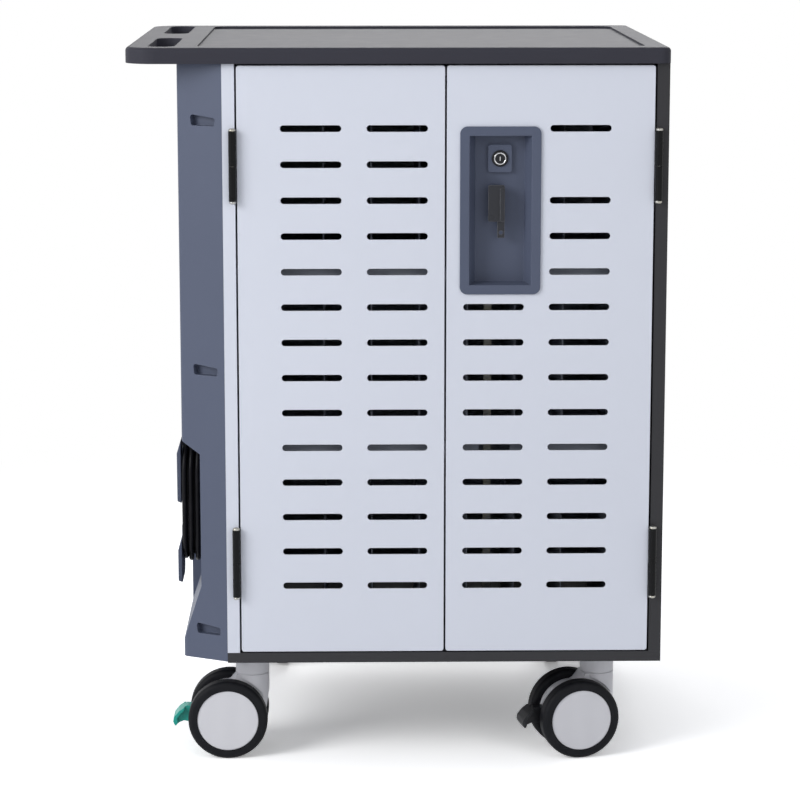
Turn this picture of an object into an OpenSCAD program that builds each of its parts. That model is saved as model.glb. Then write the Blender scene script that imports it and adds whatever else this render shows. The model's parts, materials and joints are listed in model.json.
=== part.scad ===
// Laptop charging cart: a vented steel cabinet on twin-wheel casters, with a moulded worktop,
// a side cover that holds a cord wrap, and a recessed door latch.
// Millimetres. +Z is up, the doors face -Y, the hand slots are at the -X end,
// and the origin is on the floor under the middle of the worktop.

/* [Cart] */
// Height from the floor to the top of the worktop
cart_h = 1118; // [1000:1:1250]
// Height of the base pan's underside above the floor
caster_h = 169; // [160:1:190]
// Width of the steel cabinet, without the side cover
cabinet_w = 672; // [600:1:690]
// How far the cabinet's right side sits in from the worktop's right end
side_inset = 1; // [0:0.5:10]
// How far the door fronts sit in from the worktop's front edge
front_inset = 8; // [6:0.5:20]

/* [Worktop] */
// Width of the worktop
worktop_w = 818; // [800:1:900]
// Depth of the worktop
worktop_d = 680; // [620:1:760]
// Thickness of the worktop
worktop_t = 24; // [18:1:36]
// Corner radius at the hand slot end
worktop_corner = 45; // [20:1:60]
// Corner radius at the other end
worktop_far_corner = 16; // [14:1:30]
// Radius of the rounded top edge
worktop_edge = 6; // [3:0.5:7]
// Depth of the tray in the worktop
tray_depth = 4; // [2:0.5:8]
// Corner radius of the tray
tray_corner = 18; // [8:1:30]
// Tray margin at the hand slot end
tray_margin_left = 107; // [100:1:140]
// Tray margin at the other end
tray_margin_right = 35; // [20:1:60]
// Tray margin along the front and the back
tray_margin_side = 36; // [20:1:60]
// Width of a hand slot
hand_slot_w = 41; // [30:1:42]
// Length of a hand slot
hand_slot_len = 245; // [180:1:260]
// Wall between a hand slot and the worktop's end
hand_slot_wall = 33; // [25:1:33]
// Bridge between the two hand slots
hand_slot_bridge = 130; // [60:1:130]

/* [Cabinet] */
// Width of a front or rear post
post_w = 19; // [16:0.5:24]
// Depth of a post
post_d = 30; // [20:1:36]
// How far the posts stand behind the door fronts
post_setback = 2; // [1:0.5:4]
// Height of the base pan's rim
pan_h = 16; // [12:1:24]
// Thickness of the base pan's floor
pan_floor = 3; // [2:0.5:5]
// Thickness of the side panels, shelves and partition
sheet = 2; // [1.5:0.5:3]

/* [Doors] */
// Gap around the doors
door_gap = 3; // [2.5:0.5:5]
// Depth of a folded door
door_d = 20; // [16:1:22]
// Sheet thickness of a door
door_sheet = 1.5; // [1:0.5:2]
// Corner radius of a door
door_corner = 4; // [2:0.5:8]
// Number of rows of vent slots
vent_rows = 14; // [6:1:15]
// Spacing of the rows
vent_pitch = 54.2; // [40:0.1:56]
// Distance from the door's top to the first row
vent_top = 94; // [80:1:120]
// Length of a vent slot
vent_len = 92; // [60:1:98]
// Height of a vent slot
vent_h = 10; // [6:0.5:12]
// Hinge edge to the middle of the first column
vent_col_a = 111; // [100:1:120]
// Distance between the two columns
vent_col_step = 130; // [110:1:140]

/* [Hinges] */
// Outside diameter of a hinge barrel
barrel_d = 11.8; // [10:0.1:11.8]
// Length of a hinge barrel
barrel_len = 105; // [80:1:130]
// Diameter of a hinge pin
hinge_pin_d = 6; // [4:0.5:7]
// Height of the lower hinge's middle above the floor
hinge_low_z = 329; // [280:1:380]
// Distance from the door's top to the upper hinge's middle
hinge_drop = 150; // [100:1:200]
// How far a hinge axis stands in front of the door face
hinge_stand = 6; // [6:0.1:7]
// How far a hinge axis lies over its post
hinge_over = 3.5; // [2:0.1:5]
// Thickness of a hinge leaf
leaf_t = 2; // [1.5:0.1:2]

/* [Latch] */
// Width of the latch bezel
bezel_w = 122; // [110:1:140]
// Height of the latch bezel
bezel_h = 254; // [220:1:280]
// Thickness of the bezel's flange
bezel_t = 3; // [2:0.5:4]
// Corner radius of the bezel
bezel_corner = 11; // [6:1:16]
// Distance from the door's free edge to the bezel
bezel_edge = 20; // [14:1:30]
// Distance from the door's top to the bezel
bezel_top = 91; // [80:1:110]
// Width of the recess at its mouth
recess_w = 94; // [86:1:100]
// Height of the recess at its mouth
recess_h = 226; // [200:1:230]
// Depth of the recess behind the door front
recess_depth = 26; // [22:1:28]
// Thickness of the recess walls
recess_wall = 2; // [1.5:0.5:3]
// Share of the mouth's width that the recess floor keeps
recess_draft = 0.79; // [0.75:0.01:0.95]
// Share of the mouth's height that the recess floor keeps
recess_draft_h = 0.98; // [0.94:0.01:1]
// Diameter of the key cylinder
key_d = 19; // [14:0.5:22]
// Width of the lever handle
lever_w = 25; // [18:1:30]
// Length of the lever handle
lever_len = 55; // [40:1:60]
// Thickness of the lever handle
lever_t = 8; // [5:0.5:9]
// Width of a lock rod
rod_w = 12; // [8:0.5:12]
// Thickness of a lock rod
rod_t = 6; // [4:0.5:6]
// Distance of a rod's drive pin from the handle's axis
crank_r = 12; // [11.5:0.1:13]
// Angle that the handle swings out
handle_swing = 22; // [15:1:32]

/* [Interior] */
// Share of the bay's height that lies below the lower shelf's top
lower_share = 0.3688; // [0.33:0.0001:0.38]
// Share of the bay's height that lies below the upper shelf's top
upper_share = 0.6638; // [0.65:0.0001:0.67]
// Height of a shelf's front lip
shelf_lip = 22; // [10:1:30]
// Distance of the shelves' front edge behind the door fronts
shelf_front = 32; // [32:1:60]
// Distance of the device bay behind the door fronts
shelf_setback = 75; // [74:1:100]
// Depth of the device bay, from its front to the partition
bay_d = 385; // [300:1:400]
// Number of device slots on a level
slots = 9; // [6:1:12]
// Thickness of a divider plate
divider_t = 2; // [1.5:0.5:4]
// Clear height above a divider plate on the middle level
divider_gap = 60; // [30:1:120]
// Length of a divider plate
divider_len = 360; // [200:1:370]
// Length of a power strip
strip_len = 520; // [400:1:560]
// Height of a power strip
strip_h = 46; // [42:1:60]
// Depth of a power strip
strip_d = 34; // [24:1:44]
// Sockets on a power strip
strip_sockets = 9; // [6:1:10]
// Width of the charge controller
controller_w = 180; // [120:1:240]
// Depth of the charge controller
controller_d = 60; // [30:1:62]
// Height of the charge controller
controller_h = 120; // [60:1:125]

/* [Side cover] */
// How far the cover stands out from the cabinet
cover_out = 69; // [60:1:72]
// How far its front and rear faces slope back
cover_slope = 36; // [24:1:50]
// Thickness of the cover's wall
cover_wall = 3; // [2:0.5:4]
// Radius of the cover's outer upright edges
cover_edge = 9; // [4:1:14]
// Depth of the cord recess
wrap_recess = 28.5; // [28:0.5:30]
// Height of the recess's lower corner
wrap_low_z = 287; // [284:1:288]
// Height of the recess's upper corner
wrap_high_z = 495; // [494:1:505]
// Distance of the recess's rear wall in front of the cabinet's middle
wrap_rear_y = 40; // [30:1:44]
// Width of the cord wrap's ears
ear_w = 90; // [80:1:96]
// Thickness of an ear
ear_t = 6; // [4:0.5:8]
// Clear room for the cord between the recess and the ears
wrap_room = 37; // [36.5:0.5:42]

/* [Power cord] */
// Diameter of the cord
cord_d = 8; // [7:0.1:8]
// Turns on the inner layer of the winding
inner_turns = 2.75; // [1.75:1:2.75]
// Turns on the outer layer of the winding
outer_turns = 2.25; // [1.25:1:2.25]

/* [Casters] */
// Diameter of a wheel
wheel_d = 125; // [115:1:126]
// Width of one wheel
wheel_w = 28; // [20:1:30]
// Clear space between the two wheels
wheel_gap = 42; // [36:1:48]
// Diameter of a wheel's hub disc
hub_d = 96; // [80:1:104]
// Trail of the wheels behind the stem
trail = 38; // [32:1:42]
// Diameter of the swivel head
head_d = 53; // [46:1:60]
// Diameter of the stem
stem_d = 16; // [12:1:20]
// Diameter of the axle
axle_d = 12; // [8:1:16]
// Side of a caster's square plate
plate_w = 88; // [80:1:100]
// Thickness of a caster plate
plate_t = 3; // [2:0.5:5]
// Left stems' distance in from the cabinet's left side
stem_inset_left = 35; // [34:1:60]
// Right stems' distance in from the cabinet's right side
stem_inset_right = 91; // [60:1:120]
// Stems' distance in from the front and the rear of the base pan
stem_inset_y = 92; // [80:1:130]

/* [Hidden] */
$fn = 64;

// Clearances
slip = 0.05;
clear = 0.5;
over = 1;

// Levels and planes of the cabinet
under_z = cart_h - worktop_t;
pan_z = caster_h;
rim_z = caster_h + pan_h;
bay_z = caster_h + pan_floor;
cab_x1 = worktop_w / 2 - side_inset;
cab_x0 = cab_x1 - cabinet_w;
cab_mid = (cab_x0 + cab_x1) / 2;
door_y = -(worktop_d / 2 - front_inset);
post_y = door_y + post_setback;
in_x0 = cab_x0 + sheet;
in_x1 = cab_x1 - sheet;
in_w = in_x1 - in_x0;
lower_shelf_z = bay_z + lower_share * (under_z - bay_z);
upper_shelf_z = bay_z + upper_share * (under_z - bay_z);
divider_h = upper_shelf_z - sheet - divider_gap - lower_shelf_z;

// Doors
door_z0 = rim_z + door_gap - 0.5;
door_z1 = under_z - door_gap;
door_h = door_z1 - door_z0;
door_w = (cabinet_w - 2 * post_w - 3 * door_gap) / 2;
left_door_x = cab_x0 + post_w + door_gap;
right_door_x = left_door_x + door_w + door_gap;
rear_door_w = cabinet_w - 2 * post_w - 2 * door_gap;

// Hinge axes
hinge_y = door_y - hinge_stand;
left_axis = cab_x0 + post_w - hinge_over;
right_axis = cab_x1 - post_w + hinge_over;
hinge_levels = [hinge_low_z, door_z1 - hinge_drop];
knuckle_len = (barrel_len - clear) / 2;

// Latch
bezel_x = right_door_x + bezel_edge;
bezel_z = door_z1 - bezel_top - bezel_h;
bezel_mid_x = bezel_x + bezel_w / 2;
bezel_mid_z = bezel_z + bezel_h / 2;
recess_floor_y = door_y + recess_depth;
recess_back_y = recess_floor_y + recess_wall;
lever_offset = 5.5;
lever_drop = 15.5;
lever_stand = 18;
pivot_set = 23;
pivot_drop = 105;
key_drop = 50;
lever_x = bezel_mid_x - lever_offset;
pivot_y = recess_floor_y + pivot_set;
pivot_z = bezel_z + bezel_h - pivot_drop;
lever_front = recess_floor_y - lever_stand;
key_z = bezel_z + bezel_h - key_drop;
boss_w = 36;
boss_h = 42;
boss_t = 6;
boss_corner = 4;
crank_t = 6;
crank_reach = crank_r + 6;
neck_w = 6;
neck_h = 8;
neck_rise = pivot_set * tan(handle_swing) + neck_h / 2 / cos(handle_swing) + over;
pivot_d = 6;
drive_pin_d = 5;
drive_lift = crank_r * tan(handle_swing / 2);
rod_gap = 1;
upper_rod_x = lever_x + crank_t / 2 + rod_gap;
lower_rod_x = lever_x - crank_t / 2 - rod_gap - rod_w;
upper_rod_y = pivot_y - crank_r - rod_t / 2;
lower_rod_y = pivot_y + crank_r - rod_t / 2;
rod_stop = 1.5;
keeper_h = 11;
keeper_slack = 1;
guide_h = 8;
guide_wall = 3;

// Side cover and cord wrap
cover_x = cab_x0 - cover_out;
cover_z0 = pan_z + 2;
wrap_x = cover_x + wrap_recess;
wrap_set = 190;
wrap_y = door_y + wrap_set;
saddle_r = 34;
loop_r = saddle_r + cord_d / 2 + clear;
layer_step = cord_d + 1;
loop_r2 = loop_r + layer_step;
saddle_low_z = wrap_low_z + loop_r2 + cord_d / 2 + 2;
saddle_high_z = wrap_high_z - loop_r2 - cord_d / 2 - 3;
ear_x = wrap_x - wrap_room;
upper_ear_z0 = saddle_high_z - 1.5 * saddle_r;
upper_ear_z1 = wrap_high_z - 3;
lower_ear_z0 = wrap_low_z - 0.8 * saddle_r;
lower_ear_z1 = saddle_low_z - 6;

// Cord route: the straight lead from the gland and the tail that hangs to the plug
cord_in_x = wrap_x - cord_d / 2 - clear;
cord_out_x = ear_x + cord_d / 2 + 1.5;
outer_pitch = 10.4;
cord_low_z = saddle_low_z - loop_r;
cord_high_z = saddle_high_z + loop_r2;
tail_x = cord_out_x + outer_pitch * outer_turns;
cord_end_y = wrap_y + cord_d;
LEAD = [[-6, -70], [-6, -79], [-5, -96], [-2, -112], [0, -124], [0, -130], [0, -134]];
TAIL = [[0, -134, 0], [0, -125, 0], [-2, -106, -3], [-5, -88, -14], [-8, -75, -32], [-10, -69, -52],
        [-10, -68, -68], [-10, -68, -78], [-10, -68, -88]];
plug_x = tail_x - 10;
plug_y = -68;
plug_z = cord_high_z - 88;

// Casters
wheel_r = wheel_d / 2;
wheel_mid = (wheel_gap + wheel_w) / 2;
head_z0 = wheel_d + 3;
head_z1 = caster_h - plate_t - clear;
stem_z0 = head_z0 + 8;
body_w = wheel_gap - 2;
stem_x0 = cab_x0 + stem_inset_left;
stem_x1 = cab_x1 - stem_inset_right;
stem_y = -post_y - stem_inset_y;
front_left_stem = [stem_x0, -stem_y];
front_right_stem = [stem_x1, -stem_y];
rear_left_stem = [stem_x0, stem_y];
rear_right_stem = [stem_x1, stem_y];
STEMS = [front_left_stem, front_right_stem, rear_left_stem, rear_right_stem];
front_right_yaw = 12;
rear_yaw = -90;
pedal_axis = [-44, wheel_r + 4];

// Colours
slate = "#5b6072";
top_grey = "#77767c";
white_steel = "#d5d9e4";
dark_steel = "#47474b";
pale_grey = "#c6c6ca";
black = "#15161a";
steel = "#a9abad";
teal = "#2ba597";

// Plain helper shapes

module box(x0, x1, y0, y1, z0, z1) {
  translate([x0, y0, z0]) cube([x1 - x0, y1 - y0, z1 - z0]);
}

module rounded_rect(w, h, r) {
  translate([r, 0]) square([w - 2 * r, h]);
  translate([0, r]) square([w, h - 2 * r]);
  for (x = [r, w - r], y = [r, h - r]) translate([x, y]) circle(r);
}

module stadium(len, h) {
  square([len - h, h], center = true);
  for (s = [-1, 1]) translate([s * (len - h) / 2, 0]) circle(d = h);
}

// Draws a 2-D shape, given as X and Z, as a slab from y0 to y1
module upright(y0, y1) {
  translate([0, y1, 0]) rotate([90, 0, 0]) linear_extrude(y1 - y0) children();
}

// Draws a 2-D shape, given as Y and Z, as a slab from x0 to x1
module sideways(x0, x1) {
  translate([x0, 0, 0]) rotate([90, 0, 90]) linear_extrude(x1 - x0) children();
}

// Points of an outline with round corners: each corner is [x, y, radius]
function unit(v) = v / norm(v);
function corner_arc(a, b, c, r, n) =
  let (u = unit(a - b), v = unit(c - b), half = acos(u * v) / 2,
       mid = b + unit(u + v) * r / sin(half),
       p = b + u * r / tan(half) - mid, q = b + v * r / tan(half) - mid,
       a0 = atan2(p.y, p.x), turn = atan2(p.x * q.y - p.y * q.x, p * q))
  [for (i = [0:n]) mid + r * [cos(a0 + turn * i / n), sin(a0 + turn * i / n)]];
function rounded(corners, n = 6) = let (m = len(corners))
  [for (i = [0:m - 1])
    let (a = corners[(i + m - 1) % m], b = corners[i], c = corners[(i + 1) % m])
    each (b[2] == 0 ? [[b.x, b.y]]
          : corner_arc([a.x, a.y], [b.x, b.y], [c.x, c.y], b[2], n))];

// Worktop

module worktop_outline(inset) {
  l = -worktop_w / 2;
  r = worktop_w / 2;
  f = -worktop_d / 2;
  b = worktop_d / 2;
  c = worktop_corner;
  k = worktop_far_corner;
  translate([l + c, f + inset]) square([worktop_w - c - k, worktop_d - 2 * inset]);
  translate([l + inset, f + c]) square([c, worktop_d - 2 * c]);
  translate([r - k, f + k]) square([k - inset, worktop_d - 2 * k]);
  for (y = [f + c, b - c]) translate([l + c, y]) circle(c - inset);
  for (y = [f + k, b - k]) translate([r - k, y]) circle(k - inset);
}

module edge_bar(from, size, turn) {
  translate(from) rotate(turn) cylinder(r = worktop_edge, h = size);
}

module edge_corner(at, radius, turn) {
  translate(at) rotate([0, 0, turn]) rotate_extrude(angle = 90)
    translate([radius - worktop_edge, 0]) circle(worktop_edge);
}

module worktop_rim() {
  l = -worktop_w / 2;
  r = worktop_w / 2;
  f = -worktop_d / 2;
  b = worktop_d / 2;
  c = worktop_corner;
  k = worktop_far_corner;
  e = worktop_edge;
  z = cart_h - e;
  for (y = [f + e, b - e]) edge_bar([l + c, y, z], worktop_w - c - k, [0, 90, 0]);
  edge_bar([l + e, f + c, z], worktop_d - 2 * c, [-90, 0, 0]);
  edge_bar([r - e, f + k, z], worktop_d - 2 * k, [-90, 0, 0]);
  edge_corner([l + c, f + c, z], c, 180);
  edge_corner([l + c, b - c, z], c, 90);
  edge_corner([r - k, f + k, z], k, 270);
  edge_corner([r - k, b - k, z], k, 0);
}

module hand_slots() {
  x = -worktop_w / 2 + hand_slot_wall;
  for (s = [-1, 1])
    translate([x, s * (hand_slot_bridge + hand_slot_len) / 2 - hand_slot_len / 2])
      rounded_rect(hand_slot_w, hand_slot_len, hand_slot_w / 2 - 1);
}

module worktop() {
  tray_w = worktop_w - tray_margin_left - tray_margin_right;
  tray_l = worktop_d - 2 * tray_margin_side;
  color(top_grey) difference() {
    union() {
      translate([0, 0, under_z]) linear_extrude(worktop_t - worktop_edge) worktop_outline(0);
      translate([0, 0, under_z]) linear_extrude(worktop_t) worktop_outline(worktop_edge);
      worktop_rim();
    }
    translate([tray_margin_left - worktop_w / 2, tray_margin_side - worktop_d / 2,
               cart_h - tray_depth])
      linear_extrude(tray_depth + over) rounded_rect(tray_w, tray_l, tray_corner);
    translate([0, 0, under_z - over]) linear_extrude(worktop_t + 2 * over) hand_slots();
  }
}

// Cabinet

module base_pan() {
  color(dark_steel) difference() {
    box(cab_x0, cab_x1, post_y, -post_y, pan_z, rim_z);
    box(cab_x0 + post_w, cab_x1 - post_w, post_y + post_w, -post_y - post_w, bay_z, rim_z + over);
  }
}

module post(x, y) {
  box(x, x + post_w, y, y + post_d, rim_z, under_z);
}

module left_front_post() { color(white_steel) post(cab_x0, post_y); }
module right_front_post() { color(dark_steel) post(cab_x1 - post_w, post_y); }
module rear_posts() {
  color(dark_steel) for (x = [cab_x0, cab_x1 - post_w]) post(x, -post_y - post_d);
}

module side_panel(x) {
  box(x, x + sheet, post_y + post_d, -post_y - post_d, rim_z, under_z);
}

module left_side_panel() { color(dark_steel) side_panel(cab_x0); }

// Vent slots high in the right side panel, in line with the doors' rows
module side_vents() {
  columns = [-vent_col_step, 0, vent_col_step];
  last_row = 3;
  for (y = columns, row = [0 : last_row])
    translate([0, y, door_z1 - vent_top - row * vent_pitch])
      sideways(cab_x1 - sheet - over, cab_x1 + over) stadium(vent_len, vent_h);
}

// The right side panel steps back along the posts, which leaves a shadow line
module right_side_panel() {
  seam_w = 3;
  panel_end = -post_y - post_d;
  color(dark_steel) difference() {
    side_panel(cab_x1 - sheet);
    side_vents();
    for (y = [-panel_end - over, panel_end - seam_w])
      box(cab_x1 - sheet / 2, cab_x1 + over, y, y + seam_w + over, rim_z - over, under_z + over);
  }
}

// Interior

bay_y0 = door_y + shelf_setback;
bay_y1 = bay_y0 + bay_d;
slot_pitch = in_w / slots;
shelf_y = door_y + shelf_front;
rod_room = 8;

// A shelf with a folded lip along its front, notched where the lock rods pass
module shelf(z) {
  box(in_x0, in_x1, bay_y0, bay_y1, z - sheet, z);
  for (span = [[in_x0, lower_rod_x - rod_room], [upper_rod_x + rod_w + rod_room, in_x1]]) {
    box(span[0], span[1], shelf_y, bay_y0 + over, z - sheet, z);
    box(span[0], span[1], shelf_y, shelf_y + sheet, z - shelf_lip, z);
  }
}

module lower_shelf() { color(pale_grey) shelf(lower_shelf_z); }
module upper_shelf() { color(pale_grey) shelf(upper_shelf_z); }

module dividers(z) {
  y = (bay_y0 + bay_y1 - divider_len) / 2;
  for (i = [1:slots - 1])
    box(in_x0 + i * slot_pitch - divider_t / 2, in_x0 + i * slot_pitch + divider_t / 2,
        y, y + divider_len, z, z + divider_h);
}

module lower_dividers() { color(pale_grey) dividers(bay_z); }
module middle_dividers() { color(pale_grey) dividers(lower_shelf_z); }
module upper_dividers() { color(pale_grey) dividers(upper_shelf_z); }

cable_gap = 60;

module partition_panel() {
  color(pale_grey) difference() {
    box(in_x0, in_x1, bay_y1, bay_y1 + sheet, rim_z, under_z);
    for (z = [lower_shelf_z, upper_shelf_z, under_z])
      translate([cab_mid, 0, z - cable_gap])
        upright(bay_y1 - over, bay_y1 + sheet + over) stadium(strip_len, strip_h / 2);
  }
}

strip_y = bay_y1 + sheet;
strip_lift = 90;
strip_levels = [rim_z + strip_lift + 30, lower_shelf_z + strip_lift, upper_shelf_z + strip_lift];

module power_strips() {
  step = strip_len / strip_sockets;
  socket_d = 34;
  socket_depth = 9;
  color(black) for (z = strip_levels) difference() {
    box(cab_mid - strip_len / 2, cab_mid + strip_len / 2, strip_y, strip_y + strip_d, z, z + strip_h);
    for (i = [0:strip_sockets - 1])
      translate([cab_mid - strip_len / 2 + (i + 0.5) * step, strip_y + strip_d + over, z + strip_h / 2])
        rotate([90, 0, 0]) cylinder(d = socket_d, h = socket_depth + over);
  }
}

// The controller hangs on the partition, just under the middle strip
module charge_controller() {
  x = cab_mid - controller_w / 2;
  top = lower_shelf_z + strip_lift - 10;
  color(dark_steel) box(x, x + controller_w, strip_y, strip_y + controller_d, top - controller_h, top);
}

// Side cover

// Plan of the cover, drawn in by a wall thickness
module cover_plan(inset) {
  far = cover_x + inset;
  f = post_y + inset * 1.6;
  s = post_y + cover_slope + inset * 0.6;
  e = cover_edge - inset;
  polygon(rounded([[cab_x0, f, 0], [far, s, e], [far, -s, e], [cab_x0, -f, 0]]));
}

// Side view of the recess for the cord wrap, grown by a wall thickness
module wrap_notch(grow) {
  reach = 10;
  flare_top = 25;
  flare_foot = 120;
  out = cover_x - reach;
  upright(post_y - over, -wrap_rear_y + grow)
    polygon([[wrap_x + grow, wrap_low_z - grow], [wrap_x + grow, wrap_high_z + grow],
             [out, wrap_high_z + grow + flare_top], [out, wrap_low_z - grow - flare_foot]]);
}

notch_w = 44;
notch_h = 17;
notch_depth = 12;
notch_corner = 4;
notch_slant = 5;
notch_taper = 2;
notch_share = 0.43;
notch_levels = [under_z - 94, under_z - 475, cover_z0 + 40];

// Pockets for the fingers in the front slope, grown by a wall thickness
module finger_notches(grow) {
  tilt = atan2(cover_slope, cover_out);
  half = notch_w / 2 + grow;
  r = notch_corner + grow;
  for (z = notch_levels)
    translate([cab_x0 - cover_out * notch_share, post_y + cover_slope * notch_share, z])
      rotate([0, 0, -tilt]) upright(-over, notch_depth + grow)
        polygon(rounded([[-half, notch_h + grow, r], [half, notch_h + grow - notch_slant, r],
                         [half - notch_taper, -grow, r], [notch_taper - half, -grow, r]]));
}

module left_side_cover() {
  color(slate) difference() {
    translate([0, 0, cover_z0]) linear_extrude(under_z - cover_z0) cover_plan(0);
    wrap_notch(0);
    difference() {
      translate([0, 0, cover_z0 + cover_wall]) linear_extrude(under_z) cover_plan(cover_wall);
      wrap_notch(cover_wall);
      finger_notches(cover_wall);
    }
    finger_notches(0);
    gland_hole();
  }
}

// Cord wrap: two saddles on a back plate, each with an ear that keeps the cord on

module saddle(z, up) {
  flat = 12;
  intersection() {
    translate([ear_x, wrap_y, z]) rotate([0, 90, 0]) cylinder(r = saddle_r, h = wrap_x - ear_x);
    box(ear_x, wrap_x, wrap_y - saddle_r, wrap_y + saddle_r,
        up ? z - flat : z - saddle_r, up ? z + saddle_r : z + flat);
  }
}

// An ear leans in towards the cover at its top
module ear(z0, z1) {
  lip_corner = 14;
  lean_top = 20;
  lean_foot = 4;
  far = ear_x - ear_t;
  intersection() {
    sideways(far, ear_x) translate([wrap_y - ear_w / 2, z0]) rounded_rect(ear_w, z1 - z0, lip_corner);
    upright(wrap_y - ear_w, wrap_y + ear_w)
      polygon([[ear_x + over, z0], [ear_x + over, z1], [ear_x, z1], [far, z1 - lean_top],
               [far, z0 + lean_foot], [ear_x, z0]]);
  }
}

module cord_wrap() {
  plate_half = saddle_r - 6;
  color(slate) {
    saddle(saddle_high_z, true);
    saddle(saddle_low_z, false);
    box(wrap_x - 4, wrap_x, wrap_y - plate_half, wrap_y + plate_half, saddle_low_z, saddle_high_z);
    ear(upper_ear_z0, upper_ear_z1);
    ear(lower_ear_z0, lower_ear_z1);
  }
}

// Power cord

cord_sides = 6;

// A tube swept along a list of points, with a square end at each end
function along(p, i) = unit(p[min(i + 1, len(p) - 1)] - p[max(i - 1, 0)]);
function sweep_ring(p, i, sides) =
  let (t = i == 0 ? unit(p[1] - p[0]) : i == len(p) - 1 ? unit(p[i] - p[i - 1]) : along(p, i),
       u = unit(cross(t, [1, 0.02, 0.01])), v = cross(t, u))
  [for (k = [0:sides - 1]) p[i] + cord_d / 2 * (cos(k * 360 / sides) * u + sin(k * 360 / sides) * v)];
module tube(p, sides) {
  n = len(p);
  points = [for (i = [0:n - 1]) each sweep_ring(p, i, sides)];
  walls = [for (i = [0:n - 2], k = [0:sides - 1])
    let (a = i * sides + k, b = i * sides + (k + 1) % sides)
    each [[a, a + sides, b], [b, a + sides, b + sides]]];
  last = (n - 1) * sides;
  ends = [for (k = [1:sides - 2]) each [[0, k, k + 1], [last, last + k + 1, last + k]]];
  polyhedron(points, concat(walls, ends), convexity = 10);
}

// One turn is a stadium: round under the lower saddle, up the front, round over the upper saddle
// and down the back. Turns are counted from the lowest point, heading to the front.
rings_per_turn = 24;
climb = 0.5;
all_turns = inner_turns + climb + outer_turns;
function ease(f) = f * f * (3 - 2 * f);
function turn_r(t) = t <= inner_turns ? loop_r
  : t >= inner_turns + climb ? loop_r2
  : loop_r + layer_step * ease((t - inner_turns) / climb);
function turn_x(t) = t <= inner_turns ? cord_in_x + (cord_out_x - cord_in_x) * t / inner_turns
  : t <= inner_turns + climb ? cord_out_x
  : cord_out_x + outer_pitch * (t - inner_turns - climb);
function turn_point(t) =
  let (f = t - floor(t), r = turn_r(t), bottom = f < 0.25 || f >= 0.75,
       angle = f < 0.25 ? -90 - 360 * f : f < 0.75 ? 180 - 360 * (f - 0.25) : 360 - 360 * (f - 0.75))
  [turn_x(t), wrap_y + r * cos(angle), (bottom ? saddle_low_z : saddle_high_z) + r * sin(angle)];
ring_count = round(all_turns * rings_per_turn);
// A quarter turn ends at a saddle's side, so each side of a turn has a ring at both saddles
winding_turns = [for (i = [0:ring_count]) i * all_turns / ring_count];
winding_rings = [for (t = winding_turns) let (f = t - floor(t)) each
  (abs(f - 0.25) < 0.001 ? [turn_point(t - 0.0001), turn_point(t + 0.0001)]
   : abs(f - 0.75) < 0.001 ? [turn_point(t - 0.0001), turn_point(t + 0.0001)] : [turn_point(t)])];
winding_path = concat([[cord_in_x, cord_end_y, cord_low_z]], winding_rings,
                      [[tail_x, cord_end_y, cord_high_z]]);
winding_gap = min([for (i = [0:len(winding_path) - 1], j = [i + 14:1:len(winding_path) - 1])
  norm(winding_path[i] - winding_path[j])]) - cord_d;
winding_len = [for (i = [1:len(winding_path) - 1]) norm(winding_path[i] - winding_path[i - 1])]
  * [for (i = [1:len(winding_path) - 1]) 1];
echo(winding_gap = winding_gap, winding_len = winding_len);

lead_path = [for (p = LEAD) [cord_in_x + p[0], p[1], cord_low_z]];
tail_path = [for (p = TAIL) [tail_x + p[0], p[1], cord_high_z + p[2]]];
gland_x = cord_in_x - 6;
gland_y = -70;
gland_r = 8;

module power_cord_lead() { color(black) tube(lead_path, 8); }
module power_cord_winding() { color(black) tube(winding_path, cord_sides); }
module power_cord_tail() { color(black) tube(tail_path, 8); }

module gland_hole() {
  translate([gland_x, -wrap_rear_y - over, cord_low_z]) rotate([-90, 0, 0])
    cylinder(r = gland_r - 2, h = cover_wall + 2 * over);
}

module cord_gland() {
  flange = 3;
  nose = -wrap_rear_y - gland_y;
  color(black) translate([gland_x, -wrap_rear_y, cord_low_z]) rotate([90, 0, 0]) {
    cylinder(r = gland_r, h = flange);
    cylinder(r1 = gland_r - 1, r2 = cord_d / 2 + 0.8, h = nose);
    translate([0, 0, -cover_wall]) cylinder(r = gland_r - 2 - slip, h = cover_wall + 1);
    translate([0, 0, -cover_wall - 3]) cylinder(r = gland_r, h = 3);
  }
}

module plug() {
  body = [24, 32, 44];
  collar = 8;
  blade = [1.5, 6.5, 18];
  color(black) translate([plug_x, plug_y, plug_z]) {
    translate([0, 0, -collar]) cylinder(r1 = 8, r2 = cord_d / 2 + 1, h = collar);
    translate([-body.x / 2, -body.y / 2, -collar - body.z]) linear_extrude(body.z)
      rounded_rect(body.x, body.y, 7);
    for (s = [-1, 1]) translate([s * 6 - blade.x / 2, -6 - blade.y / 2, -collar - body.z - blade.z])
      cube([blade.x, blade.y, blade.z + 1]);
    translate([0, 6, -collar - body.z - blade.z]) cylinder(d = 4.8, h = blade.z + 1);
  }
}

// Hinges: the lower half of a barrel is on the post and holds the pin, the upper half is on the door

module knuckle(x, y, z) {
  translate([x, y, z]) cylinder(d = barrel_d, h = knuckle_len);
}

module pin_hole(x, y, z, fit) {
  translate([x, y, z - over]) cylinder(d = hinge_pin_d + 2 * fit, h = knuckle_len + 2 * over);
}

// The post half: side is the way from the barrel over the post, front is the way the barrel stands out
module post_half(axis, y, side, front) {
  leaf_w = barrel_d / 2;
  face = -front * post_y;
  for (z = hinge_levels) difference() {
    union() {
      knuckle(axis, y, z - barrel_len / 2);
      translate([min(axis, axis + side * leaf_w), min(y, face), z - barrel_len / 2])
        cube([leaf_w, abs(face - y), knuckle_len]);
    }
    pin_hole(axis, y, z - barrel_len / 2, slip);
  }
}

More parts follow.
